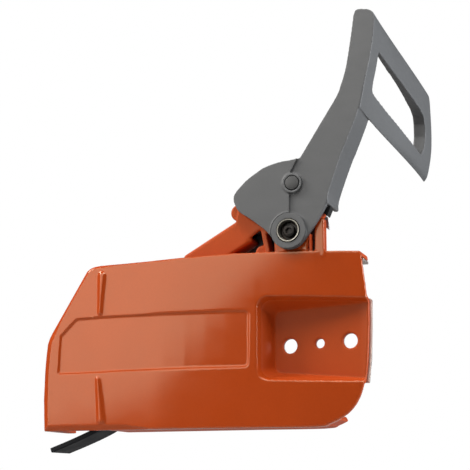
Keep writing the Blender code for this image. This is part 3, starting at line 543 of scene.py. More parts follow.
LOW_CURVE = spline([(-44.0, -49.7), (-0.1, -49.5), (8.2, -47.6), (15.2, -44.1), (20.3, -40.0), (24.6, -33.6), (27.5, -24.6), (29.0, -11.3), (29.7, 6.8), (29.75, 25.6), (28.6, 38.5), (26.8, 53.4)], 6)
OUTLINE = [(-171.2, -50.1), (-101.0, -49.9)] + LOW_CURVE + [
    (-4.3, 54.1), (-26.2, 54.0), (-49.3, 54.1), (-82.5, 53.2), (-108.6, 52.1), (-131.5, 51.5), (-135.3, 51.4), (-139.6, 50.9), (-142.6, 49.8), (-144.6, 48.2),
    (-167.9, 9.9), (-169.3, 7.2), (-170.5, 3.8), (-171.3, -4.0), (-171.9, -14.0), (-172.1, -31.0),
]
INNER = [
    (-167.5, -47.1), (-101.0, -47.0), (-44.0, -46.8), (-0.4, -46.6), (6.8, -45.1), (12.0, -42.6), (14.6, -47.4), (20.0, -62.0), (60.0, -62.0),
    (60.0, 50.2), (26.8, 50.5), (-4.0, 51.3), (-26.2, 51.2), (-49.3, 51.3), (-82.5, 50.4), (-108.6, 49.3), (-134.6, 48.6),
    (-141.2, 46.5), (-165.3, 6.9), (-166.9, 3.3),
]


def bevel_amount(p):
    """Width of the bevel between the outer face and the side walls: broad along the rear, fine elsewhere."""
    x, z = p
    if x < -160:
        return 3.1
    if x < -142.5:
        return 3.1 + (x + 160) * (-1.5 / 17.5)
    return max(0.4, 1.6 - (x + 142.5) * 0.03)


def build_cover():
    """The moulded cover, made of the same solids as the CAD part but finer, then filleted all over."""
    rings = []
    for y, k in ((FACE_Y - 4.0, 3.5), (FACE_Y + 1.6, 0.0), (RIM_Y - 0.1, 0.0)):
        rings.append([(x, y, z) for x, z in (inset_polygon(OUTLINE, lambda p: bevel_amount(p) * k) if k else OUTLINE)])
    cover = loft("clutch_cover_shell", rings)
    keep(cover, face_solid("t", 0.0, 40.0))
    hollow = prism("t", INNER, FACE_Y - 4, RIM_Y + 4)
    keep(hollow, face_solid("t2", WALL, 40.0))
    cut(cover, hollow)
    tray = loft("t", [recess_ring(y, 2.8) for y in (FACE_Y - 4, PAD_IN_Y)])
    keep(tray, prism("t2", [(-60.0, -45.0), (20.4, -38.3), (27.0, -25.5), (28.8, -12.0), (29.6, 1.0), (30.1, 12.0), (30.1, 25.6), (28.6, 37.5), (26.6, 48.0), (-60.0, 48.0)], FACE_Y - 6, RIM_Y))
    keep(tray, face_solid("t2", 0.9, 40.0))
    join(cover, tray)

    arc = [(DRUM[0] + r * math.cos(math.radians(a)), DRUM[1] + r * math.sin(math.radians(a))) for r, seq in ((45.2, range(146, 261, 4)), (43.0, range(258, 145, -4))) for a in seq]
    join(cover, prism("t", arc, FACE_Y + 1.5, -1.0))
    for x in (-156.0, -141.0):
        join(cover, box("t", (x - 0.9, FACE_Y + 1.5, -20.0), (x + 0.9, -15.5, 47.8 if x > -145 else 24.4)))
    join(cover, box("t", (-160.0, FACE_Y + 1.5, 17.1), (-122.5, -15.5, 18.9)))
    join(cover, box("t", (-168.4, FACE_Y + 1.5, -10.9), (-124.0, -15.5, -9.1)))
    for c in ((-160.4, 3.0), (-128.0, 43.6)):
        join(cover, rod_y("t", c, 4.2, FACE_Y + 1.5, 7.0, 40))

    web = [
        axis_pt(6.0, -6.0), axis_pt(6.0, 7.0), (-47.0, 84.5), (-36.0, 95.0), (-21.0, 95.0), (-17.6, 92.0), (-12.0, 91.6), (-7.0, 90.4), (-2.0, 87.0),
        (2.2, 82.4), (6.2, 80.9), (4.3, 76.4), (-3.0, 70.0), (-3.6, 58.0), (-24.5, 58.0), (-25.0, 64.0), (-33.0, 69.5),
    ]
    join(cover, prism("t", web, -14.8, -12.4))
    join(cover, prism("t", [(-50.0, 80.0), (-48.0, 84.5), (-36.0, 95.0), (-20.0, 95.0), (-20.0, 92.8), (-35.2, 92.8), (-46.2, 83.0), (-46.4, 77.0)], -13.4, -2.4))
    join(cover, prism("t", [(2.2, 82.4), (6.2, 80.9), (4.3, 76.4), (0.0, 72.0), (-1.8, 73.6), (1.6, 77.4), (2.0, 79.0), (-0.6, 81.2)], -13.4, -2.4))
    join(cover, prism("t", [(-24.5, 50.5), (-4.0, 50.5), (-4.0, 66.0), (-24.5, 66.0)], -14.8, -2.4))
    join(cover, rod_y("t", PIVOT, 9.0, -14.8, -2.4, 56))
    join(cover, prism("t", [(-33.4, 69.6), (-30.4, 69.6), (-26.6, 50.5), (-29.6, 50.5)], -14.6, -3.0))
    join(cover, rod_y("t", (-32.6, 55.0), 4.4, -13.4, -2.4, 40))
    join(cover, prism("t", [(0.4, 50.5), (6.2, 50.5), (6.2, 73.4), (3.6, 74.4), (0.4, 71.0)], -14.4, -7.6))
    tunnel = axis_box("t", -33.0, 10.0, -TUNNEL_HALF, TUNNEL_HALF, MECH_Y - TUNNEL_HALF, MECH_Y + TUNNEL_HALF)
    bev = tunnel.modifiers.new("round", "BEVEL")
    bev.width, bev.segments, bev.limit_method, bev.angle_limit = 1.6 * MM, 4, "ANGLE", math.radians(50)
    join(cover, tunnel)
    join(cover, rod_y("t", (-47.6, 80.8), 5.2, -13.4, -4.0, 40))

    cut(cover, loft("t", [recess_ring(y, 0.0) for y in (FACE_Y - 6, PAD_OUT_Y)]))
    for c in STUDS:
        cut(cover, rod_y("t", c, STUD_HOLE_R, -12, 4, 56))
    cut(cover, rod_y("t", (0, 0), CENTRE_HOLE_R, -12, 4, 40))

    # sunken panel with drafted edges
    top = [(-161.2, 8.0), (-150.6, 18.2), (-150.2, 18.4), (-140.0, 18.8), (-128.0, 19.0), (-118.0, 19.2), (-104.0, 19.3), (-92.0, 19.4), (-79.0, 19.4), (-66.0, 19.4), (-53.0, 19.4), (-41.4, 19.2), (-40.2, 18.8), (-39.4, 18.0), (-38.7, 16.8)]
    bot = [(-162.2, -15.2), (-150.7, -15.3), (-150.3, -15.3), (-140.0, -15.1), (-128.0, -14.8), (-118.0, -14.6), (-104.0, -14.4), (-92.0, -14.3), (-79.0, -14.2), (-66.0, -14.2), (-53.0, -14.2), (-42.4, -14.2), (-41.0, -14.0), (-40.0, -13.4), (-39.2, -12.2)]
    deep = 0.62
    rings = []
    for (xt, zt), (xb, zb) in zip(top, bot):
        yt, yb = face_y(xt) + deep, face_y(xb) + deep
        rings.append([(xb, yb - 5.0, zb - 3.6), (xt, yt - 5.0, zt + 3.6), (xt, yt, zt - 0.3), (xb, yb, zb + 0.3)])
    cut(cover, loft("t", rings))
    # tapered ribs
    for a, ra, b, rb in (((-133.4, 44.9), 2.5, (-134.3, 21.6), 1.2), ((-132.2, -43.8), 2.5, (-134.8, -19.0), 1.2)):
        base, top_ = capsule(a, ra, b, rb), capsule(a, ra - 1.2, b, rb - 0.8)
        join(cover, loft("t", [[(x, FACE_Y + 1.0, z) for x, z in base], [(x, FACE_Y - 0.1, z) for x, z in base], [(x, FACE_Y - 1.25, z) for x, z in top_]]))

    cut(cover, bar("t", ax3(-30.0), ax3(11.0), TUNNEL_BORE_R, 40))
    cut(cover, bar("t", ax3(-36.0), ax3(-28.0), 2.7, 32))
    cut(cover, rod_y("t", KNEE_FIXED, 2.3, -20, -10, 32))
    cut(cover, rod_y("t", PIVOT, 2.4, -20, -5.0, 32))
    for c in MECH_SCREWS[:1]:
        join(cover, rod_y("t", c, 3.5, -9.0, -2.4, 32))
    join(cover, rod_y("t", MECH_SCREWS[1], 3.4, -13.4, -2.4, 32))
    for c in MECH_SCREWS:
        cut(cover, rod_y("t", c, 1.6, -9.0, 0.0, 24))
    for c in PLATE_RIVETS:
        cut(cover, rod_y("t", c, 1.8, -3.2, 2.0, 24))
    cut(cover, box("t", (-165.0, -19.6, -58.0), (-129.2, RIM_Y + 4, -45.5)))
    join(cover, prism("t", [ramp_pt(-1.0, -4.3), ramp_pt(12.0, -4.3), ramp_pt(12.0, -1.8), ramp_pt(-1.0, -1.8)], FACE_Y + 1.5, 6.0))
    join(cover, prism("t", [(-129.0, -49.6), (-121.0, -49.6), ramp_pt(3.5, -4.0), ramp_pt(-0.8, -2.2)], FACE_Y + 1.5, 6.0))
    for y in FLAP_SCREW_Y:
        a, b = ramp_pt(FLAP_SCREW_S, -7.0), ramp_pt(FLAP_SCREW_S, 0.0)
        cut(cover, bar("t", (a[0], y, a[1]), (b[0], y, b[1]), 1.8, 24))
    for x in WEAR_SCREW_X:
        cut(cover, bar("t", (x, STRIP_SCREW_Y, -56.0), (x, STRIP_SCREW_Y, -44.0), 1.6, 24))
    for x in GUIDE_SCREW_X:
        cut(cover, bar("t", (x, STRIP_SCREW_Y, 49.0), (x, STRIP_SCREW_Y, 58.0), 1.6, 24))
    join(cover, rod_y("t", ANCHOR, 4.0, face_y(-60) + 1.5, -13.2, 32))
    cut(cover, rod_y("t", ANCHOR, 1.8, -18.0, -10.0, 24))
    return moulded(cover, 0.5, 5)


MECH_SCREWS = [(-31.4, 58.4), (-34.6, 91.0), (-20.5, 58.4)]
PLATE_RIVETS = [(-23.8, 17.0), (-24.0, -14.0), (23.8, 20.4), (23.2, -18.0)]
FLAP = [(-168.0, -61.6), (-156.0, -57.2), (-145.0, -52.8), (-137.5, -49.4), (-133.2, -46.8), (-129.4, -43.4), (-120.6, -35.2)]
FLAP_SCREW_S, FLAP_SCREW_Y = 7.5, (-13.0, -1.0)
WEAR_SCREW_X, GUIDE_SCREW_X, STRIP_SCREW_Y = (-30.0, -4.0), (-16.0, 12.0), 3.0
ANCHOR_A = math.radians(59.0)
ANCHOR = (DRUM[0] + 41.8 * math.cos(ANCHOR_A), DRUM[1] + 41.8 * math.sin(ANCHOR_A))
ramp_dir = (Vector(FLAP[-1]) - Vector(FLAP[-2])).normalized()
ramp_nrm = Vector((-ramp_dir.y, ramp_dir.x))


def ramp_pt(s, d):
    p = Vector(FLAP[-2]) + ramp_dir * s + ramp_nrm * d
    return (p.x, p.y)


piece(build_cover(), "cover", M_ORANGE, "cover_orange", "clutch_cover")

# ------------------------------------------------------------------ rubber chip flap
flap_line = spline(FLAP, 6)
flap = prism("chip_flap", offset_line(flap_line, -1.5) + offset_line(flap_line, 1.5)[::-1], -19.2, 5.4)
for y in FLAP_SCREW_Y:
    a, b = ramp_pt(FLAP_SCREW_S, -7.0), ramp_pt(FLAP_SCREW_S, 7.0)
    cut(flap, bar("t", (a[0], y, a[1]), (b[0], y, b[1]), 1.8, 24))
moulded(flap, 0.35, 4, 40000)
piece(flap, "cover", M_FLAP, "rubber_grey", "chip_deflector")

# ------------------------------------------------------------------ hand guard
GUARD_LEFT = [
    (27.6, 197.4), (25.7, 184.5), (23.3, 170.1), (21.4, 161.4), (18.6, 152.9), (16.1, 146.9), (5.5, 130.3), (-7.1, 110.6),
    (-12.0, 109.6), (-19.7, 108.8), (-28.9, 106.3), (-35.5, 102.5), (-40.6, 99.0), (-45.4, 94.4), (-48.4, 90.6), (-48.9, 87.4),
    (-48.0, 84.5), (-45.4, 80.0), (-39.9, 76.1), (-34.1, 71.8), (-29.0, 67.6), (-24.6, 62.6),
]
GUARD_RIGHT = [
    (-4.8, 60.4), (0.4, 67.1), (5.7, 75.1), (9.6, 81.6), (10.6, 88.9), (17.9, 109.2), (22.4, 119.6), (29.1, 136.3),
    (33.8, 154.8), (37.0, 167.6), (39.2, 180.2), (40.6, 193.4), (39.8, 197.4), (36.8, 199.8), (30.8, 200.7), (28.6, 199.9),
]
NEAR = [(30.4, 138.4), (31.2, 142.0), (32.4, 147.6), (33.9, 154.8), (35.6, 162.0), (37.0, 167.6), (38.2, 174.0), (39.2, 180.2), (40.1, 188.0), (40.5, 193.6), (39.7, 197.8), (36.8, 199.2)]
FAR = [(37.6, 130.4), (39.8, 133.4), (41.4, 139.2), (42.8, 146.6), (43.7, 154.0), (44.0, 161.0), (44.1, 168.0), (44.0, 175.4), (43.8, 183.0), (43.5, 190.4), (42.6, 195.0), (40.0, 197.0)]
T_NEAR = [1.5, 2.6] + [3.0] * 10
T_FAR = [2.6, 6.0, 9.0] + [10.4] * 7 + [9.4, 7.6]


def thicker(line, thick):
    """The line's copy moved back by a thickness of its own at each point, its foot drawn up."""
    out = []
    for i, p in enumerate(line):
        a, b = Vector(line[max(0, i - 1)]), Vector(line[min(len(line) - 1, i + 1)])
        t = (b - a).normalized()
        out.append((p[0] - t.y * thick[i], p[1] + t.x * thick[i] + (1.4 if i == 0 else 0.0)))
    return out


def finer(values, per):
    out = []
    for a, b in zip(values, values[1:]):
        out += [a + (b - a) * k / per for k in range(per)]
    return out + [values[-1]]


def shield_ring(y, y0, y1, near, far, t_near, t_far):
    f = (y - y0) / (y1 - y0)
    g = f * f * (3 - 2 * f)
    front = [(a[0] + (b[0] - a[0]) * g, a[1] + (b[1] - a[1]) * f) for a, b in zip(near, far)]
    rear = thicker(front, [a + (b - a) * f * f for a, b in zip(t_near, t_far)])
    return [(x, y, z) for x, z in front + rear[::-1]]


def groove_ring(c, r0, r1, a0, a1, y, n=48):
    """Cross-section, at depth y, of a groove along part of a circle."""
    angles = [math.radians(a0 + (a1 - a0) * k / n) for k in range(n + 1)]
    return [(c[0] + r1 * math.cos(a), y, c[1] + r1 * math.sin(a)) for a in angles] + [(c[0] + r0 * math.cos(a), y, c[1] + r0 * math.sin(a)) for a in angles[::-1]]


def build_guard():
    left = spline(GUARD_LEFT[:8], 5)[:-1] + spline(GUARD_LEFT[7:], 5)
    right = spline(GUARD_RIGHT[:4], 4)[:-1] + spline(GUARD_RIGHT[4:11], 5) + spline(GUARD_RIGHT[11:], 5)
    guard = prism("hand_guard_body", left + right, PLATE_OUT_Y, PLATE_IN_Y)
    join(guard, rod_y("t", PIVOT, 11.0, -20.5, PLATE_IN_Y, 72))
    join(guard, prism("t", spline(GUARD_LEFT[7:], 5) + [(-20.0, 60.0), (-13.4, 66.0), (-13.4, 86.5), (-12.8, 101.5), (-8.2, 110.2)], SECTOR_Y, -16.0))
    join(guard, rod_y("t", DRIVE, 6.1, -20.6, PLATE_IN_Y, 56))
    web = spline([(9.9, 81.5), (10.6, 88.9), (17.9, 109.2), (22.4, 119.6), (29.1, 136.3), (32.0, 147.0)], 6)
    join(guard, prism("t", web + offset_line(web, 3.0)[::-1], PLATE_OUT_Y + 0.2, 8.0))
    near, far, t_near, t_far = spline(NEAR, 3), spline(FAR, 3), finer(T_NEAR, 3), finer(T_FAR, 3)
    ys = [PLATE_OUT_Y + 0.4] + [-14.0 + 161.0 * k / 24 for k in range(25)]
    rings = [shield_ring(y, ys[0], SHIELD_END_Y, near, far, t_near, t_far) for y in ys]
    last = [(p[0] - 1.5, p[1] + (163.0 - p[1]) * 0.06) for p in far] + [(p[0] + 1.5, p[1] + (163.0 - p[1]) * 0.06) for p in thicker(far, t_far)][::-1]
    shield = loft("t", rings + [[(x, SHIELD_END_Y, z) for x, z in last]])
    window = [
        (-0.6, 178.4), (60.0, 176.6), (112.0, 173.6), (120.5, 171.6), (124.0, 167.0), (125.8, 158.0), (124.5, 148.0), (120.0, 143.4),
        (60.0, 148.9), (2.2, 153.3), (-0.2, 155.4), (-1.2, 160.0), (-1.4, 168.0), (-1.2, 175.6),
    ]
    cut(shield, loft("t2", [[(x, y, z) for y, z in window] for x in (0.0, 80.0)]))
    cut(guard, rod_y("t", PIVOT, 7.2, -24, -10, 72))
    cut(guard, rod_y("t", DRIVE, 2.35, -18.6, -10, 32))
    cut(guard, rod_y("t", DRIVE, 4.6, -24, -18.6, 48))
    merge(guard, shield)
    moulded(guard, 0.5, 4)
    # parting grooves that outline the raised sector, the pin's collar and the pivot boss
    cut(guard, loft("t", [groove_ring(DRIVE, 6.15, 6.75, -115.0, 75.0, y) for y in (-26.0, -18.75)]))
    cut(guard, prism("t", [(-13.75, 77.2), (-13.1, 77.2), (-12.9, 88.6), (-13.55, 88.9)], -26.0, -18.9))
    cut(guard, turned("t", PIVOT, [(10.55, -26.0), (11.15, -26.0), (11.05, -19.7), (10.65, -19.7)], 96))
    guard.data.shade_smooth()
    guard.data.set_sharp_from_angle(angle=math.radians(38))
    return guard


piece(build_guard(), "guard", M_GREY, "guard_grey", "hand_guard")

# ------------------------------------------------------------------ round pieces and fasteners, finer than in the CAD model
def spun(name, p, d, profile, n=40, turn=0.0):
    """A solid of revolution from p along d; profile holds (distance, radius) and both ends are capped."""
    p, d = Vector(p), Vector(d).normalized()
    side = d.cross(Vector((0, 1, 0)) if abs(d.y) < 0.9 else Vector((1, 0, 0))).normalized()
    other = d.cross(side)
    rings = []
    for s, r in profile:
        rings.append([p + d * s + side * (r * math.cos(turn + 2 * math.pi * i / n)) + other * (r * math.sin(turn + 2 * math.pi * i / n)) for i in range(n)])
    return loft(name, rings, 32)


def pin_between(name, p, q, r, chamfer=0.3, n=40):
    p, q = Vector(p), Vector(q)
    length = (q - p).length
    return spun(name, p, q - p, [(0, r - chamfer), (chamfer, r), (length - chamfer, r), (length, r - chamfer)], n)


def screw(name, foot, top, shank_r, head_r, head_h, socket_r=None, pitch=0.8):
    """A pan-head screw with a threaded shank from foot and a hexagon socket in its top."""
    foot, top = Vector(foot), Vector(top)
    length = (top - foot).length
    d = (top - foot) / length
    seat = length - head_h
    profile = [(0.0, shank_r * 0.6), (0.5, shank_r * 0.82)]
    s = 0.5
    while s + pitch < seat - 0.5:
        profile += [(s + pitch * 0.5, shank_r), (s + pitch, shank_r * 0.82)]
        s += pitch
    profile += [(seat - 0.2, shank_r * 0.95), (seat, shank_r * 0.95), (seat, head_r - 0.15), (seat + 0.15, head_r), (seat + head_h * 0.45, head_r)]
    profile += [(seat + head_h * 0.72, head_r * 0.95), (seat + head_h * 0.9, head_r * 0.85), (length, head_r * 0.7)]
    obj = spun(name, foot, d, profile, 48)
    if socket_r:
        cut(obj, spun("t", foot + d * (length - head_h * 0.62), d, [(0.0, socket_r), (head_h, socket_r)], 6))
        obj.data.set_sharp_from_angle(angle=math.radians(32))
    return obj


for i, x in enumerate(WEAR_SCREW_X):
    piece(screw(f"wear_screw_{i + 1}", (x, STRIP_SCREW_Y, -49.5), (x, STRIP_SCREW_Y, -42.7), 1.3, 2.8, 1.7, 1.2), "cover", M_ZINC, "screw_zinc", f"wear_strip_screw_{i + 1}")
for i, x in enumerate(GUIDE_SCREW_X):
    piece(screw(f"guide_screw_{i + 1}", (x, STRIP_SCREW_Y, 53.3), (x, STRIP_SCREW_Y, 46.3), 1.3, 2.8, 1.6, 1.2), "cover", M_ZINC, "screw_zinc", f"guide_strip_screw_{i + 1}")
for i, y in enumerate(FLAP_SCREW_Y):
    a, b = ramp_pt(FLAP_SCREW_S, -3.9), ramp_pt(FLAP_SCREW_S, 5.6)
    piece(screw(f"flap_screw_{i + 1}", (a[0], y, a[1]), (b[0], y, b[1]), 1.4, 3.0, 2.2, 1.3), "cover", M_ZINC, "screw_zinc", f"deflector_screw_{i + 1}")
for i, c in enumerate(MECH_SCREWS):
    piece(screw(f"back_screw_{i + 1}", (c[0], -7.5, c[1]), (c[0], 1.6, c[1]), 1.3, 2.9, 2.0, 1.3), "cover", M_ZINC, "screw_zinc", f"mechanism_screw_{i + 1}")
piece(screw("detent_plate_screw", (-3.6, -2.1, 76.8), (-3.6, 2.5, 76.8), 1.3, 2.6, 1.6, 1.2), "cover", M_ZINC, "screw_zinc", "detent_screw")
for i, c in enumerate(PLATE_RIVETS):
    rivet = spun(f"plate_rivet_{i + 1}", (c[0], -3.0, c[1]), (0, 1, 0), [(0, 1.5), (2.72, 1.5), (2.95, 1.25), (2.95, 0.7), (2.7, 0.55)], 40)
    piece(rivet, "cover", M_ZINC, "plate_steel", f"side_plate_rivet_{i + 1}")

piece(pin_between("fixed_pin", (KNEE_FIXED[0], -14.6, KNEE_FIXED[1]), (KNEE_FIXED[0], -2.4, KNEE_FIXED[1]), 2.0), "cover", M_PIN, "pin_steel", "knee_fixed_pin")
piece(pin_between("middle_pin", (KNEE_MID[0], -10.6, KNEE_MID[1]), (KNEE_MID[0], -4.9, KNEE_MID[1]), 1.5), "crank", M_PIN, "pin_steel", "knee_mid_pin")
piece(pin_between("fork_pin", (ROD_PIN[0], -10.6, ROD_PIN[1]), (ROD_PIN[0], -2.7, ROD_PIN[1]), 1.5), "rod", M_PIN, "pin_steel", "rod_pin")
piece(pin_between("hook_pin", (HOOK[0], -12.9, HOOK[1]), (HOOK[0], -0.1, HOOK[1]), 1.5), "rod", M_PIN, "pin_steel", "band_hook_pin")
piece(pin_between("anchor_pin", (ANCHOR[0], -16.5, ANCHOR[1]), (ANCHOR[0], 0.2, ANCHOR[1]), 1.5), "cover", M_PIN, "pin_steel", "band_anchor_pin")

# drive pin of the guard: a broad flat head on a ground shank, held by an open clip
drive = spun("drive_pin", (DRIVE[0], -7.2, DRIVE[1]), (0, -1, 0), [(0, 1.6), (0.4, 2.0), (4.1, 2.0), (4.1, 1.65), (5.2, 1.65), (5.2, 2.0), (11.7, 2.0), (11.7, 4.2), (11.85, 4.3), (13.2, 4.3), (13.55, 4.1), (13.7, 3.7)], 64)
drive.data.set_sharp_from_angle(angle=math.radians(32))
piece(drive, "guard", M_PIN_HEAD, "pin_steel", "guard_drive_pin")
clip = turned("pin_clip", DRIVE, [(1.75, -12.25), (3.2, -12.25), (3.4, -12.1), (3.4, -11.6), (3.2, -11.45), (1.75, -11.45)], 64)
cut(clip, box("t", (DRIVE[0] - 1.3, -13.0, DRIVE[1] - 5.0), (DRIVE[0] + 1.3, -11.0, DRIVE[1])))
piece(clip, "guard", M_SPRING, "spring_steel", "drive_pin_clip")
BUFFER = [(6.4, 81.2), (9.6, 81.2), (10.0, 80.4), (7.7, 75.1), (4.9, 77.8)]
piece(eased(prism("buffer", BUFFER, -12.0, -5.0), 0.55, 3), "guard", M_BUFFER, "rubber_black", "guard_buffer")

# bushing, washer and screw of the guard pivot
bush = turned("pivot_bushing", PIVOT, [(6.22, -21.0), (6.42, -21.1), (6.78, -21.1), (6.9, -20.95), (6.9, -15.1), (5.5, -15.1), (5.5, -18.9), (5.75, -19.6), (6.05, -20.4)], 96)
piece(bush, "cover", M_BUSH, "bushing_steel", "guard_bushing")
piece(turned("pivot_cup_washer", PIVOT, [(2.4, -16.4), (2.6, -16.6), (5.0, -16.6), (5.2, -16.4), (5.2, -15.1), (2.4, -15.1)], 72), "cover", M_DARK, "steel_dark", "pivot_washer")
pivot = spun("pivot_screw", (PIVOT[0], -5.6, PIVOT[1]), (0, -1, 0), [(0, 1.5), (0.5, 2.0), (11.3, 2.0), (11.3, 3.6), (11.5, 3.8), (13.2, 3.8), (13.7, 3.6), (14.0, 3.1)], 64)
cut(pivot, spun("t", (PIVOT[0], -17.9, PIVOT[1]), (0, -1, 0), [(0.0, 1.9), (3.0, 1.9)], 6, 0.3))
cut(pivot, spun("t", (PIVOT[0], -19.35, PIVOT[1]), (0, -1, 0), [(0.0, 1.9), (0.6, 2.5)], 48))
pivot.data.set_sharp_from_angle(angle=math.radians(32))
piece(pivot, "cover", M_DARK, "steel_dark", "guard_pivot_screw")

# ------------------------------------------------------------------ plates and strips
side = prism("side_plate", rounded([(-29.0, -20.5), (29.0, -24.0), (30.6, -10.0), (31.3, 7.0), (31.7, 26.0), (-29.0, 23.0)], [4, 0.6, 0, 0, 2, 4], 10), -PLATE_T, 0.0)
for c in STUDS:
    cut(side, rod_y("t", c, STUD_HOLE_R, -3, 3, 72))
cut(side, rod_y("t", (0, 0), CENTRE_HOLE_R, -3, 3, 56))
for c in PLATE_RIVETS:
    cut(side, rod_y("t", c, 1.7, -3, 3, 40))
piece(eased(side, 0.14, 2), "cover", M_PLATE, "plate_steel", "bar_side_plate")
strip_low = spline([(-44.0, -46.4), (-22.0, -46.3), (-0.6, -46.2), (5.0, -44.2), (10.0, -41.2), (15.2, -38.9)], 5)
wear = prism("wear_strip_fine", strip_low + offset_line(strip_low, 1.9)[::-1], -4.0, 8.4)
for x in WEAR_SCREW_X:
    cut(wear, bar("t", (x, STRIP_SCREW_Y, -48.0), (x, STRIP_SCREW_Y, -43.0), 1.6, 32))
piece(eased(wear, 0.35, 3), "cover", M_NYLON, "nylon_pale", "wear_strip")
guide = box("guide_strip_fine", (-34.0, -4.0, 48.2), (27.4, 9.4, 49.9))
for x in GUIDE_SCREW_X:
    cut(guide, bar("t", (x, STRIP_SCREW_Y, 46.0), (x, STRIP_SCREW_Y, 52.0), 1.6, 32))
piece(eased(guide, 0.3, 3), "cover", M_PLATE, "plate_steel", "guide_strip")
clamp = prism("clamp_fine", [ramp_pt(2.0, 1.8), ramp_pt(11.4, 1.8), ramp_pt(11.4, 3.4), ramp_pt(2.0, 3.4)], -18.6, 4.8)
for y in FLAP_SCREW_Y:
    a, b = ramp_pt(FLAP_SCREW_S, -7.0), ramp_pt(FLAP_SCREW_S, 7.0)
    cut(clamp, bar("t", (a[0], y, a[1]), (b[0], y, b[1]), 1.8, 32))
piece(eased(clamp, 0.35, 3), "cover", M_PLATE, "plate_steel", "deflector_clamp")

# ------------------------------------------------------------------ brake band: the fixed run, and the end that the rod pulls
TANGENT_A = math.atan2(N[1], N[0])
n_c = (DRUM[0] - TUNNEL_P[0]) * N[0] + (DRUM[1] - TUNNEL_P[1]) * N[1]
SPLIT_A = TANGENT_A + math.radians(34.0)


def band_arc(radius, a0, a1, steps):
    return [(DRUM[0] + radius * math.cos(a0 + (a1 - a0) * k / steps), DRUM[1] + radius * math.sin(a0 + (a1 - a0) * k / steps)) for k in range(steps + 1)]


fixed = prism("band_fixed_run", band_arc(BAND_IN_R + BAND_T, SPLIT_A, 2 * math.pi + ANCHOR_A, 150) + band_arc(BAND_IN_R, SPLIT_A, 2 * math.pi + ANCHOR_A, 150)[::-1], BAND_Y0, BAND_Y1, 30)
join(fixed, rod_y("t", ANCHOR, 3.4, BAND_Y0, BAND_Y1, 48))
cut(fixed, rod_y("t", ANCHOR, 1.8, -14, 2, 32))
fixed.data.shade_smooth()
fixed.data.set_sharp_from_angle(angle=math.radians(30))
piece(fixed, "cover", M_BAND, "band_steel", "brake_band")
pulled = prism("band_pulled_end", [axis_pt(HOOK_T + 0.5, n_c + BAND_IN_R + BAND_T)] + band_arc(BAND_IN_R + BAND_T, TANGENT_A, SPLIT_A, 24) + band_arc(BAND_IN_R, TANGENT_A, SPLIT_A, 24)[::-1] + [axis_pt(HOOK_T + 0.5, n_c + BAND_IN_R)], BAND_Y0, BAND_Y1, 30)
join(pulled, rod_y("t", HOOK, 3.2, BAND_Y0, BAND_Y1, 48))
cut(pulled, rod_y("t", HOOK, 1.8, -14, 2, 32))
cut(pulled, axis_box("t", HOOK_T - 3.7, HOOK_T + 6.0, -3.7, 3.7, -8.6, -4.4))
pulled.data.shade_smooth()
pulled.data.set_sharp_from_angle(angle=math.radians(30))
pulled.data.materials.clear()
pulled.data.materials.append(M_BAND)
a = band_arc(BAND_IN_R, SPLIT_A, SPLIT_A, 1)[0]
b = band_arc(BAND_IN_R, TANGENT_A, TANGENT_A, 1)[0]
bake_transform(pulled)

# ------------------------------------------------------------------ rod, spring and knee joint
rod = spun("rod_fine", ax3(HOOK_T + 2.4), (U[0], 0, U[1]), [(0, 2.0), (48.4 + 2.0, 2.0), (48.4 + 2.6, 1.6)], 48)
join(rod, rod_y("t", HOOK, 3.1, -8.2, -4.8, 56))
cut(rod, rod_y("t", HOOK, 1.8, -14, 2, 32))
rod.data.shade_smooth()
rod.data.set_sharp_from_angle(angle=math.radians(32))
piece(rod, "rod", M_PIN, "pin_steel", "pull_rod")
collar = spun("collar_fine", ax3(2.0), (U[0], 0, U[1]), [(0, 5.0), (0.3, 5.3), (3.1, 5.3), (3.4, 5.0)], 64)
join(collar, link_body("t", axis_pt(6.6), ROD_PIN, 3.6, -10.0, -3.0))
cut(collar, axis_box("t", 9.4, ROD_PIN_T + 6, -8, 8, -7.8, -5.2))
cut(collar, rod_y("t", ROD_PIN, 1.8, -14, 2, 32))
cut(collar, bar("t", ax3(1.0), ax3(7.9), 2.3, 32))
collar.data.shade_smooth()
collar.data.set_sharp_from_angle(angle=math.radians(32))
piece(collar, "rod", M_DARK, "steel_dark", "spring_collar")
seat = spun("seat_fine", ax3(-29.7), (U[0], 0, U[1]), [(0, 5.4), (0.2, 5.6), (1.0, 5.6), (1.2, 5.4)], 64)
cut(seat, bar("t", ax3(-31.0), ax3(-27.5), 2.7, 40))
seat.data.set_sharp_from_angle(angle=math.radians(32))
piece(seat, "cover", M_PLATE, "plate_steel", "spring_seat")
WIRE_R, COIL_R, TURNS = 0.95, 4.45, 8
COIL_T0, COIL_T1 = -28.5 + 0.3 + WIRE_R, 2.0 - 0.3 - WIRE_R
coil = []
for k in range(TURNS * 56 + 1):
    a = 2 * math.pi * k / 56
    centre_ = Vector(ax3(COIL_T0 + (COIL_T1 - COIL_T0) * k / (TURNS * 56), COIL_R * math.sin(a), MECH_Y + COIL_R * math.cos(a)))
    radial, along = Vector((N[0] * math.sin(a), math.cos(a), N[1] * math.sin(a))), Vector((U[0], 0.0, U[1]))
    coil.append([centre_ + radial * (WIRE_R * math.cos(b)) + along * (WIRE_R * math.sin(b)) for b in [2 * math.pi * j / 16 for j in range(16)]])
spring = loft("spring_fine", coil, 50)
spring.data.materials.clear()
spring.data.materials.append(M_SPRING)
a, b = ax3(-28.0), ax3(1.2)
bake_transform(spring)
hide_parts("brake_spring")

drive_v = (Vector(DRIVE) - Vector(KNEE_FIXED)).normalized()
drive_s = Vector((-drive_v.y, drive_v.x))


def fork_pt(s, d):
    p = Vector(KNEE_FIXED) + drive_v * s + drive_s * d
    return (p.x, p.y)


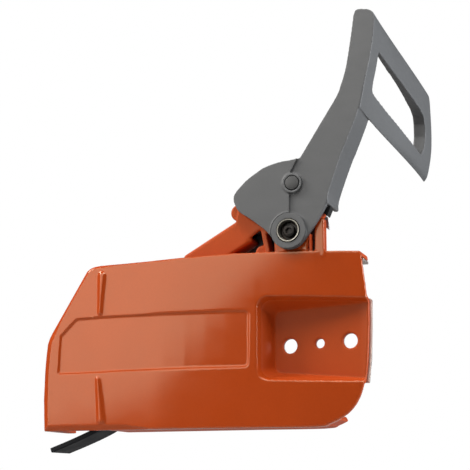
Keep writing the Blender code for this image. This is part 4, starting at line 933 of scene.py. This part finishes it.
crank = link_body("crank_fine", KNEE_FIXED, KNEE_MID, 3.9, -10.0, -7.8)
join(crank, rod_y("t", KNEE_FIXED, 5.0, -10.0, -7.8, 64))
join(crank, prism("t", [fork_pt(0, -5.0), fork_pt(16.0, -5.0), fork_pt(17.0, -4.2), fork_pt(17.0, 4.2), fork_pt(16.0, 5.0), fork_pt(0, 5.0)], -10.0, -7.8))
cut(crank, link_body("t", fork_pt(10.2, 0.0), fork_pt(24.0, 0.0), 2.75, -12, -4))
cut(crank, rod_y("t", KNEE_FIXED, 2.3, -12, -4, 40))
cut(crank, rod_y("t", KNEE_MID, 1.8, -12, -4, 32))
crank.data.set_sharp_from_angle(angle=math.radians(32))
piece(crank, "crank", M_LINK, "link_steel", "knee_crank")
link = link_body("link_fine", KNEE_MID, ROD_PIN, 4.0, -7.5, -5.5)
slot_end = Vector(ROD_PIN) + (Vector(KNEE_MID) - Vector(ROD_PIN)).normalized() * 2.0
cut(link, link_body("t", ROD_PIN, (slot_end.x, slot_end.y), 2.3, -12, -2))
cut(link, rod_y("t", KNEE_MID, 1.8, -12, -4, 32))
link.data.set_sharp_from_angle(angle=math.radians(32))
piece(link, "link", M_LINK, "link_steel", "knee_link")

# ------------------------------------------------------------------ back plate of the mechanism
# the plate's near-black colour also paints the deep shade seen through the gaps in the neck of the cover
back = prism(
    "back_plate",
    rounded([(-51.6, 54.6), (3.2, 54.5), (3.6, 70.0), (4.6, 80.2), (1.6, 82.2), (-6.0, 89.6), (-14.0, 92.4), (-20.0, 94.6), (-35.4, 94.6), (-43.8, 84.8),
             axis_pt(10.4, 8.5), axis_pt(10.4, 3.8), axis_pt(11.4, 3.8), axis_pt(11.4, -3.8), axis_pt(10.4, -3.8), axis_pt(10.4, -8.5)],
            [0.8, 2, 0, 1, 2, 2, 3, 3, 3, 1.5, 0.5, 0, 0, 0, 0, 0.5], 5),
    -2.1, -0.4,
)
for c in MECH_SCREWS + [(-3.6, 76.8)]:
    cut(back, rod_y("t", c, 1.6, -4, 2, 32))
back = eased(back, 0.35, 3)
join(back, prism("t", [axis_pt(7.4, 8.5), axis_pt(7.4, -8.5), axis_pt(13.4, -8.5), axis_pt(13.4, 8.5)], -0.6, 0.4))
piece(back, "cover", M_BLACK_AND_SHADE, "plastic_black", "mechanism_cover")
detent = prism("detent_fine", [(-7.0, 80.0), (-2.0, 80.4), (2.2, 78.4), (5.2, 76.8), (5.9, 68.9), (3.0, 71.3), (1.6, 74.4), (-2.0, 73.0), (-7.0, 74.0)], -0.1, 0.9)
cut(detent, rod_y("t", (-3.6, 76.8), 1.7, -3, 3, 32))
piece(eased(detent, 0.2, 2), "cover", M_LEAF, "spring_steel", "detent_spring")

# ------------------------------------------------------------------ finishes of the nodes kept from the CAD model
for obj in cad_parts.values():
    if not obj.hide_render:
        obj.data.materials.clear()
        obj.data.materials.append(M_ZINC)

# ------------------------------------------------------------------ camera, floor and light
cam = bpy.data.cameras.new("camera")
cam.lens, cam.sensor_width = 96.05, 36.0
cam.clip_start = 0.01
camera = bpy.data.objects.new("camera", cam)
bpy.context.scene.collection.objects.link(camera)
right, up, ahead = Vector((0.94496, 0.32718, 0.00047)), Vector((0.06446, -0.18759, 0.98013)), Vector((-0.32077, 0.92615, 0.19836))
camera.matrix_world = Matrix((
    (right.x, up.x, -ahead.x, 0.1952), (right.y, up.y, -ahead.y, -0.7214), (right.z, up.z, -ahead.z, -0.0846), (0, 0, 0, 1),
))
bpy.context.scene.camera = camera


def pale(name, colour, rough):
    mat, tree, shader = nodes_of(name)
    coord = tree.nodes.new("ShaderNodeTexCoord").outputs["Object"]
    soft = noise(tree, coord, 3.0, 3.0)
    tree.links.new(ramp(tree, soft, [(0.3, shade(colour, 0.985)), (0.7, colour)]), shader.inputs["Base Color"])
    shader.inputs["Roughness"].default_value = rough
    return mat


bm = bmesh.new()
bmesh.ops.create_grid(bm, x_segments=2, y_segments=2, size=3.0)
mesh = bpy.data.meshes.new("floor")
bm.to_mesh(mesh)
bm.free()
floor = bpy.data.objects.new("floor", mesh)
bpy.context.scene.collection.objects.link(floor)
floor.location = (0.0, 0.0, -0.125)
floor.data.materials.append(pale("floor_paper", (0.42, 0.42, 0.415), 0.8))


def softbox(name, at, aim, size, power, colour=(1.0, 1.0, 1.0), size_y=None):
    light = bpy.data.lights.new(name, "AREA")
    light.energy, light.color = power, colour
    light.shape = "RECTANGLE"
    light.size, light.size_y = size, size_y or size
    obj = bpy.data.objects.new(name, light)
    bpy.context.scene.collection.objects.link(obj)
    obj.location = at
    obj.rotation_euler = (Vector(aim) - Vector(at)).to_track_quat("-Z", "Y").to_euler()
    return obj


def softbox_flat(name, at, tilt, size_x, size_z, power):
    """A softbox in an X-Z plane facing +Y, turned by tilt about Y."""
    obj = softbox(name, at, (at[0], at[1] + 1.0, at[2]), size_x, power, size_y=size_z)
    obj.rotation_euler = (Matrix.Rotation(-tilt, 4, "Y") @ Matrix.Rotation(math.radians(90), 4, "X")).to_euler()
    return obj


TILT = math.radians(20.7)
low = Vector((-0.385, 0.0, 0.200))
centre = low + Vector((-math.sin(TILT), 0.0, math.cos(TILT))) * 0.60
glow = softbox_flat("window_glow", (centre.x, -1.45, centre.z), TILT, 1.9, 1.2, 27.0)
glow.data.color = (1.0, 0.98, 0.95)
glow.visible_diffuse = False
softbox_flat("window_box", (centre.x, -1.45, centre.z), TILT, 1.9, 1.2, 6.0)
softbox("key_upper_left", (-1.30, -0.55, 1.05), (-0.07, 0.0, 0.03), 0.6, 30.0, (1.0, 0.985, 0.96))
softbox("fill_right", (1.35, 0.55, 0.12), (0.03, 0.0, 0.12), 0.9, 34.0, (0.92, 0.955, 1.0))
softbox("top", (0.20, -0.45, 0.95), (0.02, -0.02, 0.16), 0.5, 9.0)

world = bpy.data.worlds.new("studio")
bpy.context.scene.world = world
world.use_nodes = True
tree = world.node_tree
tree.nodes.clear()
out = tree.nodes.new("ShaderNodeOutputWorld")
seen, ambient, pick = tree.nodes.new("ShaderNodeBackground"), tree.nodes.new("ShaderNodeBackground"), tree.nodes.new("ShaderNodeMixShader")
seen.inputs["Color"].default_value, seen.inputs["Strength"].default_value = (1.0, 1.0, 1.0, 1.0), 1.0
ambient.inputs["Color"].default_value, ambient.inputs["Strength"].default_value = (0.95, 0.97, 1.0, 1.0), 0.10
path = tree.nodes.new("ShaderNodeLightPath")
tree.links.new(path.outputs["Is Camera Ray"], pick.inputs[0])
tree.links.new(ambient.outputs[0], pick.inputs[1])
tree.links.new(seen.outputs[0], pick.inputs[2])
tree.links.new(pick.outputs[0], out.inputs["Surface"])

bpy.context.scene.view_settings.view_transform = "Standard"
bpy.context.scene.view_settings.look = "None"
